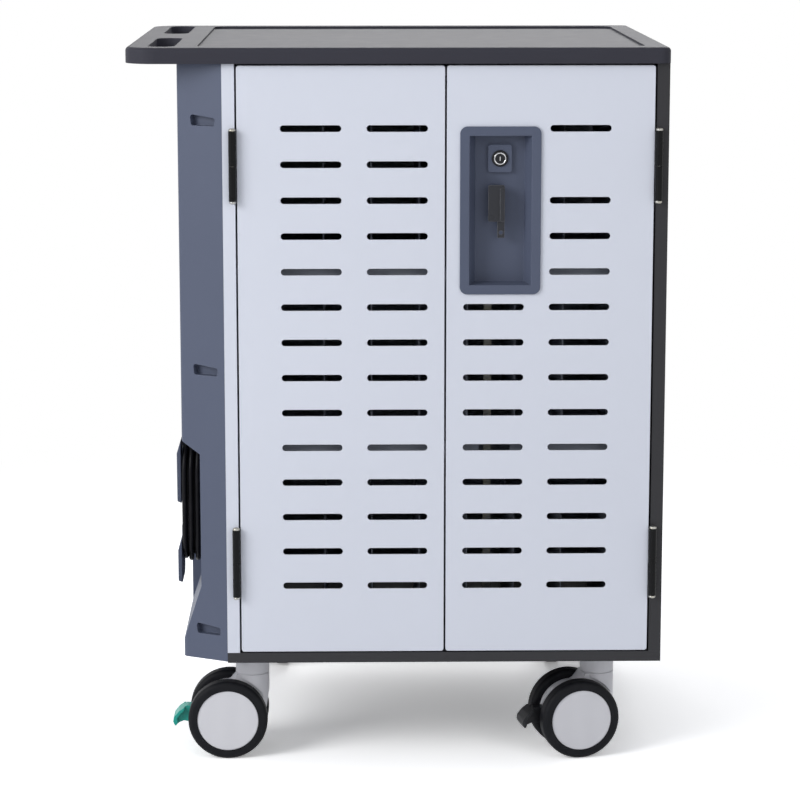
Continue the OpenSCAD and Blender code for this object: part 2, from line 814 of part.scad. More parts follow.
module post_knuckles() {
  color(black) {
    post_half(left_axis, hinge_y, -1, -1);
    post_half(right_axis, hinge_y, 1, -1);
    post_half(right_axis, -hinge_y, 1, 1);
  }
}

// The door half: its leaf runs from the barrel along the folded edge of the door
module door_half(axis, edge, y, front) {
  reach = 16;
  toward = sign(edge - axis);
  for (z = hinge_levels) difference() {
    union() {
      knuckle(axis, y, z + clear / 2);
      translate([min(edge, edge - toward * leaf_t), min(y, y - front * (hinge_stand + reach)),
                 z + clear / 2])
        cube([leaf_t, hinge_stand + reach, knuckle_len]);
      translate([min(axis, edge), min(y, y - front * leaf_t), z + clear / 2])
        cube([abs(edge - axis), leaf_t, knuckle_len]);
    }
    pin_hole(axis, y, z + clear / 2, slip);
  }
}

module left_door_knuckles() { color(black) door_half(left_axis, left_door_x, hinge_y, -1); }
module right_door_knuckles() { color(black) door_half(right_axis, right_door_x + door_w, hinge_y, -1); }
module rear_door_knuckles() { color(black) door_half(right_axis, left_door_x + rear_door_w, -hinge_y, 1); }

module hinge_pins() {
  head_h = 2;
  head_d = hinge_pin_d + 3;
  color(steel) for (at = [[left_axis, hinge_y], [right_axis, hinge_y], [right_axis, -hinge_y]],
                    z = hinge_levels) translate([at.x, at.y, z - barrel_len / 2]) {
    translate([0, 0, -head_h]) cylinder(d = head_d, h = head_h);
    translate([0, 0, -slip]) cylinder(d = hinge_pin_d, h = barrel_len + 3);
  }
}

// Doors

// A folded sheet door with its left edge at x = 0 and its foot at z = 0. The children are cut from its
// face, which is at y and points to -Y or +Y as front says.
module folded_door(w, y, front) {
  back = y - front * door_d;
  upright(min(y, y - front * door_sheet), max(y, y - front * door_sheet)) difference() {
    rounded_rect(w, door_h, door_corner);
    children();
  }
  upright(min(y, back), max(y, back)) difference() {
    rounded_rect(w, door_h, door_corner);
    translate([door_sheet, door_sheet])
      rounded_rect(w - 2 * door_sheet, door_h - 2 * door_sheet, door_corner - door_sheet);
  }
}

module vent(x, row) {
  translate([x, door_h - vent_top - row * vent_pitch]) stadium(vent_len, vent_h);
}

// Rows of vents that the door has room for
rows = min(vent_rows, floor((door_h - vent_top - vent_h) / vent_pitch) + 1);
function beside_bezel(row) = vent_top + row * vent_pitch < bezel_top + bezel_h + vent_h;
bare_row = 1;

module left_door_panel() {
  color(white_steel) translate([left_door_x, 0, door_z0]) folded_door(door_w, door_y, -1)
    for (row = [0:rows - 1], x = [vent_col_a, vent_col_a + vent_col_step]) vent(x, row);
}

module bezel_hole() {
  translate([bezel_mid_x - right_door_x - recess_w / 2 - recess_wall - clear,
             bezel_mid_z - door_z0 - recess_h / 2 - recess_wall - clear])
    square([recess_w + 2 * (recess_wall + clear), recess_h + 2 * (recess_wall + clear)]);
}

module right_door_panel() {
  color(white_steel) translate([right_door_x, 0, door_z0]) folded_door(door_w, door_y, -1) {
    for (row = [0:rows - 1]) if (row != bare_row) vent(door_w - vent_col_a, row);
    for (row = [0:rows - 1])
      if (!beside_bezel(row)) vent(door_w - vent_col_a - vent_col_step, row);
    bezel_hole();
  }
}

module rear_door_panel() {
  columns = 4;
  step = rear_door_w / columns;
  color(dark_steel) translate([left_door_x, 0, door_z0]) folded_door(rear_door_w, -door_y, 1) {
    for (row = [0:rows - 1], i = [0:columns - 1])
      if (i != 0 || row != rear_lock_row) vent((i + 0.5) * step, row);
    translate([rear_lock_x - left_door_x, rear_lock_z - door_z0])
      circle(d = key_d + 2 * lock_wall + 2 * clear);
  }
}

// A magnet catch under the worktop holds the left door by a strike plate
catch_w = 40;
catch_set = 90;
catch_x = left_door_x + door_w - catch_set;

module left_door_strike() {
  h = 22;
  color(steel) box(catch_x, catch_x + catch_w, door_y + door_d, door_y + door_d + sheet,
    door_z1 - h, door_z1 - door_sheet);
}

module door_catch() {
  h = 20;
  depth = 26;
  y = door_y + door_d + sheet + clear;
  color(black) box(catch_x, catch_x + catch_w, y, y + depth, under_z - h, under_z);
}

// Latch: a bezel with a drafted recess, a key cylinder, and a lever that drives two rods

// A block that tapers from its mouth, centred on the origin, towards +Y
module cup(w, h, depth) {
  floor_w = w * recess_draft;
  floor_h = h * recess_draft_h;
  intersection() {
    translate([0, 0, -h / 2]) linear_extrude(h)
      polygon([[-w / 2, 0], [w / 2, 0], [floor_w / 2, depth], [-floor_w / 2, depth]]);
    sideways(-w / 2, w / 2)
      polygon([[0, -h / 2], [depth, -floor_h / 2], [depth, floor_h / 2], [0, h / 2]]);
  }
}

module latch_bezel() {
  color(slate) difference() {
    union() {
      translate([bezel_x, 0, bezel_z]) upright(door_y - bezel_t, door_y)
        rounded_rect(bezel_w, bezel_h, bezel_corner);
      translate([bezel_mid_x, door_y - 0.01, bezel_mid_z])
        cup(recess_w + 2 * recess_wall, recess_h + 2 * recess_wall, recess_depth + recess_wall);
    }
    difference() {
      translate([bezel_mid_x, door_y - bezel_t - 0.02, bezel_mid_z])
        cup(recess_w, recess_h, recess_depth + bezel_t);
      translate([bezel_mid_x - boss_w / 2, 0, key_z - boss_h / 2])
        upright(recess_floor_y - boss_t, recess_floor_y + over) rounded_rect(boss_w, boss_h, boss_corner);
    }
    translate([bezel_mid_x, recess_floor_y - boss_t - over, key_z]) rotate([-90, 0, 0])
      cylinder(d = key_d + 2 * slip, h = boss_t + recess_wall + 3 * over);
    box(lever_x - neck_w / 2 - over, lever_x + neck_w / 2 + over, recess_floor_y - over,
        recess_back_y + over, pivot_z - neck_h / 2 - 2 * over, pivot_z + neck_rise);
  }
}

module handle_brackets() {
  ear_half = 10;
  thick = 5;
  spread = 23;
  color(dark_steel) for (x = [lever_x - spread - thick, lever_x + spread]) difference() {
    box(x, x + thick, recess_back_y, pivot_y + ear_half, pivot_z - ear_half, pivot_z + ear_half);
    translate([x - over, pivot_y, pivot_z]) rotate([0, 90, 0])
      cylinder(d = pivot_d + 2 * slip, h = thick + 2 * over);
  }
}

module handle_pin() {
  reach = 30;
  color(steel) translate([lever_x - reach, pivot_y, pivot_z]) rotate([0, 90, 0])
    cylinder(d = pivot_d, h = 2 * reach);
}

// The plate behind the recess whose two slots drive the rods, half its swing below the level at rest
module crank_turned() {
  translate([0, pivot_y, pivot_z]) rotate([handle_swing / 2, 0, 0]) children();
}

module crank() {
  crank_turned() box(lever_x - crank_t / 2, lever_x + crank_t / 2, -crank_reach, crank_reach, -8, 8);
}

module crank_slots() {
  slot_len = 9;
  half = drive_pin_d / 2 + 0.3;
  crank_turned() for (s = [-1, 1])
    box(lever_x - crank_t, lever_x + crank_t, s * crank_r - slot_len / 2, s * crank_r + slot_len / 2,
        -half, half);
}

// A curved shield on the neck, turning with it just behind the slot in the recess floor
module neck_shield() {
  shield_w = neck_w + over;
  shield_t = 2;
  low = 25;
  high = 85;
  translate([lever_x - shield_w / 2, pivot_y, pivot_z]) rotate([0, 90, 0]) rotate([0, 0, 270 - high])
    rotate_extrude(angle = low + high)
      translate([pivot_y - recess_back_y - clear - shield_t, 0]) square([shield_t, shield_w]);
}

module latch_handle() {
  hasp = [11, 4, 25];
  lever_z = pivot_z + lever_drop - lever_len;
  ridge_w = 7;
  color(dark_steel) difference() {
    union() {
      translate([lever_x - lever_w / 2, 0, lever_z]) upright(lever_front, lever_front + lever_t)
        rounded_rect(lever_w, lever_len, 3);
      translate([lever_x + lever_w / 2 - ridge_w, 0, lever_z]) upright(lever_front - 4, lever_front + 1)
        rounded_rect(ridge_w, lever_len - 4, 3);
      box(lever_x + lever_w / 2 - hasp.x, lever_x + lever_w / 2, lever_front + 2,
          lever_front + 2 + hasp.y, lever_z - hasp.z, lever_z + 1);
      box(lever_x - neck_w / 2, lever_x + neck_w / 2, lever_front + lever_t - 1, pivot_y,
          pivot_z - neck_h / 2, pivot_z + neck_h / 2);
      translate([lever_x - 4, pivot_y, pivot_z]) rotate([0, 90, 0]) cylinder(r = 8, h = 8);
      crank();
      neck_shield();
    }
    crank_slots();
    translate([lever_x - 9, pivot_y, pivot_z]) rotate([0, 90, 0])
      cylinder(d = pivot_d + 2 * slip, h = 18);
    translate([lever_x + lever_w / 2 - hasp.x / 2, lever_front, lever_z - hasp.z + 8])
      rotate([-90, 0, 0]) cylinder(d = 6, h = 10);
  }
}

module key_cylinder() {
  slot = [2, 3, 8];
  cam = [12, 3, 24];
  y = recess_floor_y - boss_t - 3;
  color(steel) difference() {
    union() {
      translate([bezel_mid_x, y, key_z]) rotate([-90, 0, 0])
        cylinder(d = key_d, h = recess_back_y + 1 - y);
      box(bezel_mid_x - cam.x / 2, bezel_mid_x + cam.x / 2, recess_back_y + clear,
          recess_back_y + clear + cam.y, key_z - cam.z, key_z + cam.x / 2);
    }
    box(bezel_mid_x - slot.x / 2, bezel_mid_x + slot.x / 2, y - over, y + slot.y,
        key_z - slot.z / 2, key_z + slot.z / 2);
  }
}

module rod(x, y, z0, z1) {
  box(x, x + rod_w, y, y + rod_t, z0, z1);
}

module drive_pin(x, y, z) {
  translate([x, y, z]) rotate([0, 90, 0]) cylinder(d = drive_pin_d, h = crank_t + 3);
}

module upper_lock_rod() {
  color(steel) {
    rod(upper_rod_x, upper_rod_y, pivot_z - 10, under_z - keeper_h - rod_stop);
    drive_pin(upper_rod_x - crank_t - 1, pivot_y - crank_r, pivot_z - drive_lift);
  }
}

module lower_lock_rod() {
  color(steel) {
    rod(lower_rod_x, lower_rod_y, rim_z + rod_stop, pivot_z + 10);
    drive_pin(lower_rod_x + rod_w - 2, pivot_y + crank_r, pivot_z + drive_lift);
  }
}

// A block with a square hole for a rod, from y0 to just behind the rod
module rod_eye(x, y, y0, z, h) {
  fit = 0.3;
  difference() {
    box(x - guide_wall, x + rod_w + guide_wall, y0, y + rod_t + guide_wall, z, z + h);
    box(x - fit, x + rod_w + fit, y - fit, y + rod_t + fit, z - over, z + h + over);
  }
}

module rod_guides() {
  y0 = door_y + door_sheet;
  color(dark_steel) {
    for (z = [bezel_z + bezel_h + 12, door_z1 - 40]) rod_eye(upper_rod_x, upper_rod_y, y0, z, guide_h);
    for (z = [door_z0 + 40, bezel_z - 48]) rod_eye(lower_rod_x, lower_rod_y, y0, z, guide_h);
  }
}

// Two jaws that take the end of a rod between them
module keeper(x, y, z, h) {
  for (jaw = [y - keeper_slack - guide_wall, y + rod_t + keeper_slack])
    box(x - guide_wall, x + rod_w + guide_wall, jaw, jaw + guide_wall, z, z + h);
}

module rod_keepers() {
  color(dark_steel) {
    keeper(upper_rod_x, upper_rod_y, under_z - keeper_h, keeper_h);
    keeper(lower_rod_x, lower_rod_y, bay_z, pan_h - pan_floor);
  }
}

// Rear lock

rear_lock_x = left_door_x + 40;
rear_lock_row = 6;
rear_lock_z = door_z0 + door_h - vent_top - rear_lock_row * vent_pitch;
lock_wall = 2;

module rear_lock_body() {
  flange = 2;
  color(steel) translate([rear_lock_x, -door_y, rear_lock_z]) rotate([90, 0, 0]) difference() {
    union() {
      translate([0, 0, -flange]) cylinder(d = key_d + 10, h = flange);
      translate([0, 0, -0.01]) cylinder(d = key_d + 2 * lock_wall, h = door_d);
    }
    translate([0, 0, -flange - over]) cylinder(d = key_d + 2 * slip, h = door_d + flange + 2 * over);
  }
}

module rear_lock_cylinder() {
  cam = [12, 3, 30];
  slot = [2, 3, 8];
  y = -door_y - door_d;
  color(steel) difference() {
    union() {
      translate([rear_lock_x, y - 1, rear_lock_z]) rotate([-90, 0, 0]) cylinder(d = key_d, h = door_d + 4);
      box(rear_lock_x - cam.x / 2, rear_lock_x + cam.x / 2, y - cam.y - clear, y - clear,
          rear_lock_z - cam.z, rear_lock_z + cam.x / 2);
    }
    box(rear_lock_x - slot.x / 2, rear_lock_x + slot.x / 2, -door_y, -door_y + 3 + over,
        rear_lock_z - slot.z / 2, rear_lock_z + slot.z / 2);
  }
}

// Casters, drawn with the stem on the Z axis and the wheels trailing towards -X

bolt_inset = 11;

module caster_plates() {
  stem_end = stem_z0 + 1;
  color(pale_grey) for (s = STEMS) translate([s.x, s.y, 0]) {
    box(-plate_w / 2, plate_w / 2, -plate_w / 2, plate_w / 2, caster_h - plate_t, caster_h);
    translate([0, 0, stem_end]) cylinder(d = stem_d, h = caster_h - plate_t - stem_end + 0.5);
  }
}

module caster_bolts() {
  head_d = 12;
  head_h = 4;
  b = plate_w / 2 - bolt_inset;
  color(steel) for (s = STEMS, x = [-b, b], y = [-b, b])
    translate([s.x + x, s.y + y, caster_h - plate_t - head_h]) cylinder(d = head_d, h = head_h, $fn = 6);
}

// Side view of the body between the wheels, drawn from the axle
hood_r = 50;
well_gap = 3;

module body_outline() {
  foot = -12;
  nose = trail + head_d / 2;
  shoulder = head_z0 - wheel_r + over;
  intersection() {
    circle(hood_r);
    translate([-hood_r, foot]) square([2 * hood_r, 2 * hood_r]);
  }
  polygon(rounded([[-20, hood_r - 5, 0], [2, hood_r + 1, 8], [trail - head_d / 2, shoulder - 4, 6],
    [trail - head_d / 2 + 2, shoulder, 0], [nose, shoulder, 0], [nose, hood_r - 8, 20],
    [nose - 6, 2, 12], [hood_r - 10, foot, 6], [-20, foot, 0]]));
}

// Its plan: round under the head, and flat between the wheels
module body_plan() {
  circle(d = head_d);
  translate([-trail - hood_r - over, -body_w / 2]) square([trail + hood_r + over, body_w]);
}

module housing() {
  seam = 1.2;
  difference() {
    union() {
      intersection() {
        upright(-head_d, head_d) translate([-trail, wheel_r]) body_outline();
        linear_extrude(head_z1) body_plan();
      }
      translate([0, 0, head_z0]) cylinder(d = head_d, h = head_z1 - head_z0);
    }
    for (s = [-1, 1]) translate([-trail, s * (body_w / 2 + wheel_w), wheel_r]) rotate([90, 0, 0])
      cylinder(r = wheel_r + well_gap, h = 2 * wheel_w, center = true);
    translate([0, 0, stem_z0]) cylinder(d = stem_d + 2 * slip, h = caster_h);
    translate([0, 0, head_z0 + 2]) rotate_extrude()
      translate([head_d / 2 - seam, 0]) square([2 * seam, seam]);
    translate([-trail, -wheel_gap, wheel_r]) rotate([-90, 0, 0])
      cylinder(d = axle_d + 2 * slip, h = 2 * wheel_gap);
    pedal_slot();
  }
}

// Two hub discs on one axle, each with a ring-shaped pocket on its inner side
module hubs() {
  inset = 1;
  pocket = 8;
  rim = 6;
  translate([-trail, 0, wheel_r]) rotate([90, 0, 0]) {
    cylinder(d = axle_d, h = wheel_gap + 2 * inset, center = true);
    for (s = [-1, 1]) translate([0, 0, s * wheel_mid]) difference() {
      cylinder(d = hub_d - 2 * slip, h = wheel_w - 2 * inset, center = true);
      translate([0, 0, -s * (wheel_w / 2 - inset)]) rotate_extrude()
        translate([axle_d, -pocket]) square([hub_d / 2 - axle_d - rim, 2 * pocket]);
    }
  }
}

module tyres() {
  shoulder = 7;
  r0 = hub_d / 2;
  translate([-trail, 0, wheel_r]) rotate([90, 0, 0]) for (s = [-1, 1])
    translate([0, 0, s * wheel_mid - wheel_w / 2]) rotate_extrude() {
      translate([r0, 0]) square([wheel_r - r0 - shoulder, wheel_w]);
      translate([r0, shoulder]) square([wheel_r - r0, wheel_w - 2 * shoulder]);
      for (z = [shoulder, wheel_w - shoulder]) translate([wheel_r - shoulder, z]) circle(shoulder);
    }
}

// The pedal turns on a cross pin in a slot at the housing's trailing end
pedal_w = 22;
pad_w = 38;
pedal_pin_d = 6;

module pedal_slot() {
  a = pedal_axis;
  translate([-trail, 0, 0]) {
    box(a.x - 40, a.x + 12, -pedal_w / 2 - clear, pedal_w / 2 + clear, a[1] - 34, a[1] + 40);
    translate([a.x, -body_w / 2 - over, a[1]]) rotate([-90, 0, 0])
      cylinder(d = pedal_pin_d + 2 * slip, h = body_w + 2 * over);
  }
}

module pedal() {
  a = pedal_axis;
  translate([-trail + a.x, 0, a[1]]) {
    upright(-pedal_w / 2, pedal_w / 2)
      polygon(rounded([[9, 6, 4], [-9, 9, 6], [-23, 10.5, 6], [-35, 2.5, 8], [-43, -7, 4], [-44, -14, 3],
        [-40, -22, 1.5], [-34.5, -17, 4], [-27, -14, 6], [-19, -15.5, 4], [-10, -12, 4], [7, -8, 4]]));
    upright(-pad_w / 2, pad_w / 2)
      polygon(rounded([[-25, 9.5, 1], [-35, 2.5, 8], [-43, -7, 4], [-44, -14, 3], [-40, -22, 1.5],
        [-37, -16, 2], [-37.5, -8, 4], [-31, 0, 6], [-26, 4, 1]]));
    rotate([90, 0, 0]) cylinder(d = pedal_pin_d, h = body_w - 2, center = true);
  }
}

module at_stem(stem, yaw) {
  translate([stem.x, stem.y, 0]) rotate([0, 0, yaw]) children();
}

module front_left_housing() { color(pale_grey) at_stem(front_left_stem, 0) housing(); }
module front_left_hubs() { color(pale_grey) at_stem(front_left_stem, 0) hubs(); }
module front_left_tyres() { color(black) at_stem(front_left_stem, 0) tyres(); }
module front_left_pedal() { color(teal) at_stem(front_left_stem, 0) pedal(); }
module front_right_housing() { color(pale_grey) at_stem(front_right_stem, front_right_yaw) housing(); }
module front_right_hubs() { color(pale_grey) at_stem(front_right_stem, front_right_yaw) hubs(); }
module front_right_tyres() { color(black) at_stem(front_right_stem, front_right_yaw) tyres(); }
module front_right_pedal() { color(black) at_stem(front_right_stem, front_right_yaw) pedal(); }
module rear_left_housing() { color(pale_grey) at_stem(rear_left_stem, rear_yaw) housing(); }
module rear_left_hubs() { color(pale_grey) at_stem(rear_left_stem, rear_yaw) hubs(); }
module rear_left_tyres() { color(black) at_stem(rear_left_stem, rear_yaw) tyres(); }
module rear_right_housing() { color(pale_grey) at_stem(rear_right_stem, rear_yaw) housing(); }
module rear_right_hubs() { color(pale_grey) at_stem(rear_right_stem, rear_yaw) hubs(); }
module rear_right_tyres() { color(black) at_stem(rear_right_stem, rear_yaw) tyres(); }

worktop();
base_pan();
left_front_post();
right_front_post();
rear_posts();
left_side_panel();
right_side_panel();
left_side_cover();
cord_wrap();
lower_shelf();
upper_shelf();
lower_dividers();
middle_dividers();
upper_dividers();
partition_panel();
power_strips();
charge_controller();
cord_gland();
power_cord_lead();
power_cord_winding();
power_cord_tail();
plug();
post_knuckles();
hinge_pins();
rod_keepers();
door_catch();
left_door_panel();
left_door_knuckles();
left_door_strike();
right_door_panel();
right_door_knuckles();
latch_bezel();
handle_brackets();
handle_pin();
rod_guides();
latch_handle();
key_cylinder();
upper_lock_rod();
lower_lock_rod();
rear_door_panel();
rear_door_knuckles();
rear_lock_body();
rear_lock_cylinder();
caster_plates();
caster_bolts();
front_left_housing();
front_left_hubs();
front_left_tyres();
front_left_pedal();
front_right_housing();
front_right_hubs();
front_right_tyres();
front_right_pedal();
rear_left_housing();
rear_left_hubs();
rear_left_tyres();
rear_right_housing();
rear_right_hubs();
rear_right_tyres();
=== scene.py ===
# %% [markdown]
# # A laptop charging cart
# The cart is a steel cabinet with vented doors under a moulded worktop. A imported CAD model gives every
# rigid part its true size and place, so this lesson only dresses it: a camera, a wound power cord,
# light, finishes, and the small moulded shapes that a CAD solid leaves plain.

# %% Load the frame
import json
import bpy
import numpy as np
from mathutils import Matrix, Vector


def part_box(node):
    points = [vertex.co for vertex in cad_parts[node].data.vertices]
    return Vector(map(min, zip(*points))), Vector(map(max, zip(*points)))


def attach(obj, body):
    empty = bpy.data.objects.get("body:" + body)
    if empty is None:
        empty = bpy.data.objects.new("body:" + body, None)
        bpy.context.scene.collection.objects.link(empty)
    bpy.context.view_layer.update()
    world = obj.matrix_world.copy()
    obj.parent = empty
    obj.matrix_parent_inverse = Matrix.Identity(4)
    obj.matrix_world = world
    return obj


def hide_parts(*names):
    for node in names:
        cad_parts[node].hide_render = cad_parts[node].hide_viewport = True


MM = 0.001
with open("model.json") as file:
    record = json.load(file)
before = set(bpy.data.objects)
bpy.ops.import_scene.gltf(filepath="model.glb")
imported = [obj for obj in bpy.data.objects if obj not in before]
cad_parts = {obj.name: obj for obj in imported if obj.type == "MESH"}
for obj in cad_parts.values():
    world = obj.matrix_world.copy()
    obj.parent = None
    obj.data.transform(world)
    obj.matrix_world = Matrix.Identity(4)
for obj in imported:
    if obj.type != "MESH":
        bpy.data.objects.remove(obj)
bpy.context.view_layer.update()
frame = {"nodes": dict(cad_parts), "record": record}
scene = bpy.context.scene

# %% [markdown]
# ## The camera
# The photograph was taken from nearly straight in front, a little above the worktop. A long lens keeps
# the uprights parallel. Its focal length is written in pixels of the 800 pixel picture, because that is
# how it was measured, and the lens in millimetres follows from the sensor's width.

# %% Camera
IMAGE_PX = 800
FOCAL_PX = 2805
SENSOR_MM = 36
CAMERA_PLACE = (-0.074, -4.541, 1.3554)
CAMERA_PITCH = 0.1814
CAMERA_YAW = 0.0183

camera = bpy.data.objects.new("photo_camera", bpy.data.cameras.new("photo_camera"))
scene.collection.objects.link(camera)
camera.data.sensor_width = SENSOR_MM
camera.data.lens = FOCAL_PX * SENSOR_MM / IMAGE_PX
camera.data.clip_end = 100
camera.location = CAMERA_PLACE
camera.rotation_euler = (np.pi / 2 - CAMERA_PITCH, 0, -CAMERA_YAW)
scene.camera = camera
print("lens", round(camera.data.lens, 1), "mm")

# %% [markdown]
# ## From arrays to pieces
# Every new shape here is a grid of points worked out by a formula: rows along the piece, columns round
# it. Turning such a grid into faces is the same each time, so one function does it for all of them, and
# a second one makes the object, rides it on its body and names its finish. Finishes come later in the
# lesson, so each piece only remembers the slot that it takes.


# %% Mesh helpers
def skin(grid, wrap=True, caps=True):
    """Points and faces of a grid (rows, columns, xyz): each cell is one quad between two rows and two
    columns. Wrap joins the last column to the first, and caps closes both ends. Columns turn
    counterclockwise about the way the rows advance, so that faces point outwards."""
    rows, columns = grid.shape[:2]
    index = np.arange(rows * columns).reshape(rows, columns)
    left = index if wrap else index[:, :-1]
    right = np.roll(index, -1, axis=1) if wrap else index[:, 1:]
    quads = np.stack([left[:-1], right[:-1], right[1:], left[1:]], axis=-1)
    faces = quads.reshape(-1, 4).tolist()
    if caps:
        faces += [index[0, ::-1].tolist(), index[-1].tolist()]
    return grid.reshape(-1, 3), faces


made_pieces = []


def make_piece(name, skins, body, slot, sharp=40):
    """One object from several skins, in metres in the row frame. Edges sharper than the angle stay crisp."""
    starts = np.cumsum([0] + [len(points) for points, _ in skins])
    points = np.concatenate([points for points, _ in skins])
    faces = [[i + start for i in face] for start, (_, part) in zip(starts, skins) for face in part]
    mesh = bpy.data.meshes.new(name)
    mesh.from_pydata(points.tolist(), [], faces)
    mesh.shade_smooth()
    mesh.set_sharp_from_angle(angle=np.radians(sharp))
    piece = bpy.data.objects.new(name, mesh)
    scene.collection.objects.link(piece)
    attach(piece, body)
    made_pieces.append((piece, slot))
    print(name, len(points), "points")
    return piece


ASKEW = (0.3, 0.5, 0.8)


def lathe(profile, start, along, sides=48):
    """A profile of (distance, radius) pairs turned about a line that leaves a start point. Two axes square
    to the line carry each ring: radius times cosine on one and sine on the other. The first axis comes
    from a direction that is askew to every line here."""
    along = np.array(along, float)
    first = np.cross(along, ASKEW)
    first /= np.linalg.norm(first)
    second = np.cross(along, first)
    turn = np.linspace(0, 2 * np.pi, sides, endpoint=False)[:, None]
    ring = np.cos(turn) * first + np.sin(turn) * second
    distance, radius = np.array(profile).T
    return np.array(start) + distance[:, None, None] * along + radius[:, None, None] * ring


def blocks(lows, highs):
    """Square blocks between two arrays of corners: four columns at the foot and four at the top of each."""
    lows, highs = np.atleast_2d(lows), np.atleast_2d(highs)
    pick = np.array([[0, 0, 0], [1, 0, 0], [1, 1, 0], [0, 1, 0], [0, 0, 1], [1, 0, 1], [1, 1, 1], [0, 1, 1]])
    corners = np.where(pick == 1, highs[:, None], lows[:, None]).reshape(-1, 2, 4, 3)
    return [skin(block) for block in corners]


# %% [markdown]
# ## The power cord
# The lead comes out of a gland low in the side cover, winds in two layers round the two saddles of the
# cord wrap, and its tail hangs to the plug. The turns are worked out: each is a stadium, round under
# the lower saddle and over the upper one. The free ends keep a few listed points. A curve object
# with a bevel could make this too, but a tube from arrays keeps the exact centre line for the length.

# %% Cord route
CORD_D = 0.008
WRAP_Y = -0.142
SADDLE_LOW_Z = 0.3405
SADDLE_HIGH_Z = 0.4405
INNER_R = 0.0385
OUTER_R = 0.0475
INNER_X = -0.309
EAR_X = -0.336
INNER_TURNS = 2.75
CLIMB = 0.5
OUTER_TURNS = 2.25
OUTER_PITCH = 0.0104
TURN_STEPS = 72
SPAN_STEPS = 12
RING_STEP = 0.003
LEAD = [(-0.315, -0.070, 0.302), (-0.315, -0.079, 0.302), (-0.314, -0.096, 0.302), (-0.311, -0.112, 0.302),
        (-0.309, -0.124, 0.302), (-0.309, -0.130, 0.302), (-0.309, -0.134, 0.302)]
TAIL = [(-0.3126, -0.134, 0.488), (-0.3126, -0.125, 0.488), (-0.3146, -0.106, 0.485),
        (-0.3176, -0.088, 0.474), (-0.3206, -0.075, 0.456), (-0.3226, -0.069, 0.436),
        (-0.3226, -0.068, 0.420), (-0.3226, -0.068, 0.410), (-0.3226, -0.068, 0.400)]


def winding():
    """Centre line of the winding. A turn starts at the lowest point and heads to the front: a quarter
    circle under the lower saddle, up, half a circle over the upper saddle, down, and a quarter circle
    back. The radius eases from the inner to the outer layer over the climb."""
    turns = INNER_TURNS + CLIMB + OUTER_TURNS
    t = np.arange(round(turns * TURN_STEPS) + 1) / TURN_STEPS
    ends = t[np.isclose(t % 0.5, 0.25)]
    tiny = 1e-6
    t = np.sort(np.concatenate([t[~np.isclose(t % 0.5, 0.25)], ends - tiny, ends + tiny]))
    share = np.clip((t - INNER_TURNS) / CLIMB, 0, 1)
    radius = INNER_R + (OUTER_R - INNER_R) * share * share * (3 - 2 * share)
    inward = INNER_X + (EAR_X - INNER_X) * np.minimum(t / INNER_TURNS, 1)
    across = inward + OUTER_PITCH * np.maximum(t - INNER_TURNS - CLIMB, 0)
    angle = -np.pi / 2 - 2 * np.pi * t
    over = (t % 1 > 0.25) & (t % 1 < 0.75)
    saddle = np.where(over, SADDLE_HIGH_Z, SADDLE_LOW_Z)
    return np.stack([across, WRAP_Y + radius * np.cos(angle), saddle + radius * np.sin(angle)], axis=1)


def smooth_path(points):
    """A smooth curve through a few points: each span is a cubic whose slope at a point is that of the
    chord between its neighbours, resampled at an even spacing."""
    p = np.array(points, float)
    slope = np.gradient(p, axis=0)
    u = np.linspace(0, 1, SPAN_STEPS, endpoint=False)[None, :, None]
    a, b, m, n = (v[:, None] for v in (p[:-1], p[1:], slope[:-1], slope[1:]))
    spans = ((1 + 2 * u) * (1 - u) ** 2 * a + u * (1 - u) ** 2 * m
             + u * u * (3 - 2 * u) * b + u * u * (u - 1) * n)
    curve = np.concatenate([spans.reshape(-1, 3), p[-1:]])
    run = np.concatenate([[0], np.cumsum(np.linalg.norm(np.diff(curve, axis=0), axis=1))])
    even = np.linspace(0, run[-1], max(2, round(run[-1] / RING_STEP)))
    return np.stack([np.interp(even, run, curve[:, k]) for k in range(3)], axis=1)


cord_path = np.concatenate([smooth_path(LEAD)[:-1], winding(), smooth_path(TAIL)[1:]])

# %% Cord
CORD_SIDES = 14
NEARLY_X = (1, 0.02, 0.01)


def tube(path, radius, sides):
    """A circle carried along a path. At each point the circle's first axis is square to the run and to
    a fixed direction close to X, and its second is square to both."""
    run = np.gradient(path, axis=0)
    run /= np.linalg.norm(run, axis=1)[:, None]
    first = np.cross(run, NEARLY_X)
    first /= np.linalg.norm(first, axis=1)[:, None]
    second = np.cross(run, first)
    turn = np.linspace(0, 2 * np.pi, sides, endpoint=False)[None, :, None]
    return path[:, None] + radius * (np.cos(turn) * first[:, None] + np.sin(turn) * second[:, None])


cord_skin = skin(tube(cord_path, CORD_D / 2, CORD_SIDES))
power_cord = make_piece("power_cord", [cord_skin], "cabinet", "cord", sharp=60)
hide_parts("power_cord_lead", "power_cord_winding", "power_cord_tail")

# %% [markdown]
# ## The gland and the plug
# Both ends of the cord are moulded on. The gland's boot is a cone cut by grooves, so that it bends with
# the cord instead of kinking it: a lathe whose radius dips in a regular wave. The plug is lofted, from a
# round collar with the same grooves to a grip that is nearly a rectangle, with a waist for the fingers.

